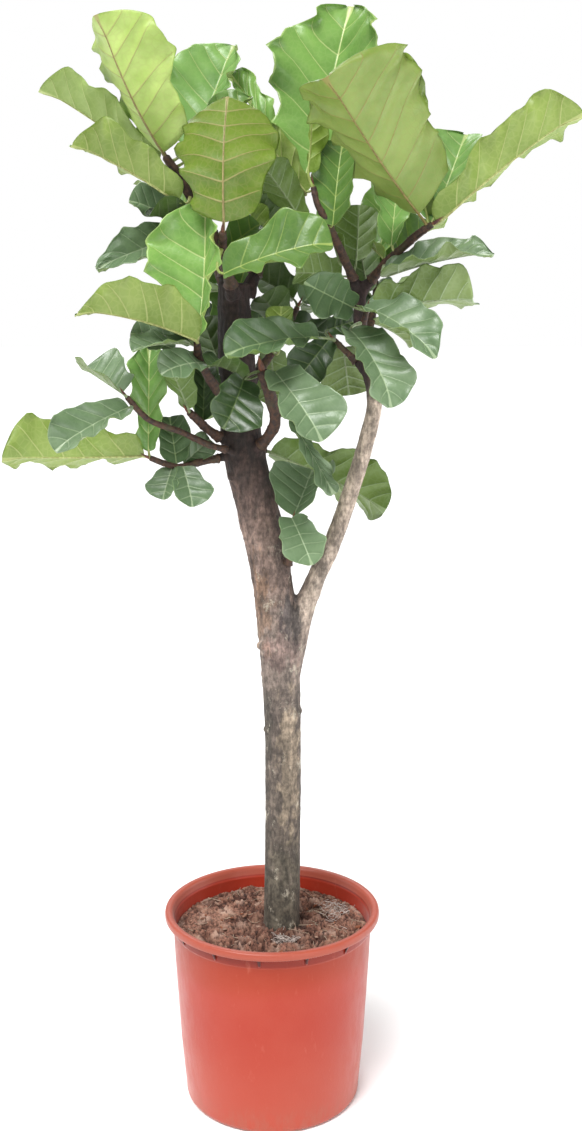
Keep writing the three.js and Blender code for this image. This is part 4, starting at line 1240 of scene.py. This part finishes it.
# The fill: rings run from the trunk out to the wall, down it, in along the floor and up the trunk.
def soilGround(draw):
    shape = soilShape
    around, reach = shape["around"], shape["reach"]
    turn = turns(around)
    outward = np.stack([np.cos(turn), np.sin(turn)], -1)
    inner = np.array(shape["trunkFoot"]) + outward * shape["trunkRadius"]
    top = inner + (outward * reach - inner) * np.linspace(0, 1, shape["rings"])[:, None, None]
    x, y = top[..., 0], top[..., 1]
    centres = draw.uniform(-152, 152, (shape["clods"], 2))
    sizes = draw.uniform(0.45, 1.7, shape["clods"]) * shape["clodSize"]
    clods, crease = clodHeight(x + 5 * ripple(top, 12, 31), y + 5 * ripple(top, 12, 32), centres, sizes)
    crumbs = 1.3 * ripple(top, 6.5, 33) + 0.7 * ripple(top, 3.2, 34)
    quiet = 1 - np.minimum(np.hypot(x, y) / reach, 1) ** 16
    high = soilHeight(x, y) - 4 + (clods + crumbs) * (0.35 + 0.65 * quiet)
    rings = [np.concatenate([top, high[..., None]], -1)]
    below = [(outward * radius, z) for radius, z in shape["side"]]
    below += [(inner, shape["side"][-1][1]), (inner, shape["trunkEnd"])]
    for ring, z in below:
        rings.append(np.concatenate([ring, np.full((around, 1), z)], -1)[None])
    dry = 0.5 + 0.5 * np.tanh(ripple(top, 40, 35))
    tones = np.zeros((shape["rings"] + len(below), around, 3))
    # the creases between clods carry painted shade to the soil's material
    tones[:shape["rings"]] = np.stack([dry, crease, crease], -1)
    back, last = np.arange(around), (len(tones) - 1) * around + np.arange(around)
    close = np.stack([last, np.roll(last, -1), np.roll(back, -1), back], -1)
    faces = gridFaces(len(tones) - 1, around, wrap=True)
    return {"points": np.concatenate(rings).reshape(-1, 3) * mm,
            "faces": [faces[:, ::-1], close[:, ::-1]],
            "carried": {"soilTone": tones.reshape(-1, 3), "tint": np.zeros(3)}}


# A chip of bark: a squared ball, each side pushed in or out a little by the draw, turned to
# lie along a drawn direction.
def chipShape(centre, size, lean, colour, draw):
    turn, tilt = np.meshgrid(turns(8), np.linspace(0.35, math.pi - 0.35, 4))
    ball = np.stack([np.sin(tilt) * np.cos(turn), np.sin(tilt) * np.sin(turn), np.cos(tilt)], -1)
    ball = np.sign(ball) * np.abs(ball) ** 0.6 * draw.uniform(0.72, 1.12, (4, 8, 1)) * size / 2
    x = unit(np.array([lean[0], lean[1], 0.25 * lean[2]]))
    z = unit(np.array([0.3 * lean[1], 0.3 * lean[2], 1.0]))
    y = unit(np.cross(z, x))
    points = ball @ np.stack([x, y, np.cross(x, y)]) + np.array(centre, float)
    ends = [np.arange(8)[None], (24 + np.arange(8))[None, ::-1]]
    return {"points": points.reshape(-1, 3) * mm, "faces": [gridFaces(3, 8, wrap=True)[:, ::-1], *ends],
            "finish": 1, "flat": [0, 1, 2], "carried": {"soilTone": np.ones(3), "tint": colour}}


# A drawn place on the soil: its angle, its distance from the middle, x and y.
def dropped(draw, reach, least):
    angle, far = draw.uniform(0, fullTurn), reach * math.sqrt(draw.uniform(least, 1))
    return angle, far, far * math.cos(angle), far * math.sin(angle)


def soilChips(draw):
    chips, shape, browns = [], soilShape, soilFinish["browns"]
    for _ in range(shape["chips"]):
        _, far, cx, cy = dropped(draw, shape["chipReach"], 0.02)
        size = draw.uniform(2.5, 7.5) * np.array([1.6, 1.0, 0.42])
        if math.hypot(cx - shape["trunkFoot"][0], cy) < shape["clear"] or far + size[0] > 150:
            continue
        centre = (cx, cy, soilHeight(cx, cy) + draw.uniform(1, 5))
        lean = draw.normal(size=3)
        chips.append(chipShape(centre, size, lean, linear(browns[draw.integers(len(browns))]), draw))
    for centre, size, rgb in bigChips:
        lean = draw.normal(size=3) * [0.4, 0.4, 1]
        chips.append(chipShape(centre, np.array(size, float), lean, linear(rgb), draw))
    return chips


# Fibres: short crooked hairs on the soil; two of each three lie in the pale tufts.
def soilFibres(draw):
    fibres, tufts = [], soilShape["tufts"]
    for number in range(soilShape["fibres"]):
        angle, _, cx, cy = dropped(draw, soilShape["fibreReach"], 0.05)
        length, bearing = draw.uniform(10, 32), draw.uniform(0, fullTurn)
        tuft = tufts[number % 3] if number % 3 < len(tufts) else None
        if tuft:
            cx, cy = draw.normal(size=2) * tuft[2] + tuft[:2]
            length = draw.uniform(6, 15)
        b = np.linspace(-0.5, 0.5, 7)
        px = cx + length * b * math.cos(bearing) + 1.6 * np.sin(5 * b + bearing)
        py = cy + length * b * math.sin(bearing) + 1.6 * np.cos(4 * b + bearing)
        keep = np.minimum(1, soilShape["chipReach"] / np.hypot(px, py))
        px, py = px * keep, py * keep
        pz = soilHeight(px, py) + 2.5 + 2.5 * np.cos(3 * b + angle) + (draw.uniform(0, 7) if tuft else 0)
        girth = draw.uniform(0.3, 0.6)
        tint = linear(soilFinish["tuft" if tuft else "fibre"]) * draw.uniform(0.6, 1.1)
        fibres.append(tube(np.stack([px, py, pz], -1), np.full(7, girth), 5, finish=1,
                           carried={"soilTone": np.ones(3), "tint": tint}))
    return fibres


def makeSoil():
    draw = np.random.default_rng(soilShape["seed"])
    shapes = [soilGround(draw), *soilChips(draw), *soilFibres(draw)]
    chip = makeGrained("barkChip", (160.0, 5.0, 0.65), (0.45, 0.42, 0.40), "tint", (0.3, 0.7, 0.1, 0.9),
                       (0.8, 0.95), (0.7, 0.0012))
    place("soil_bed", makeMesh("soil_bed", shapes, [makeSoilMaterial(), chip]), "soil", "soil")


makeSoil()
print("soil")


def makeFloor():
    material, tree, shader = newMaterial("floorPaint", {"Roughness": 0.9})
    tone = studio["floorTone"]
    cloud = noise(objectPlace(tree), 0.6, 2.0)
    feed(shader, {"Base Color": blend(fit(cloud, 0.3, 0.7), (tone * 0.995,) * 3, (tone,) * 3)})
    corners = np.array([(-1, -1, 0), (1, -1, 0), (1, 1, 0), (-1, 1, 0)]) * studio["floorSize"]
    sheet = {"points": corners, "faces": [np.arange(4)[None]], "flat": [0]}
    addObject("floor", makeMesh("floor", [sheet], [material]))


makeFloor()
print("floor")
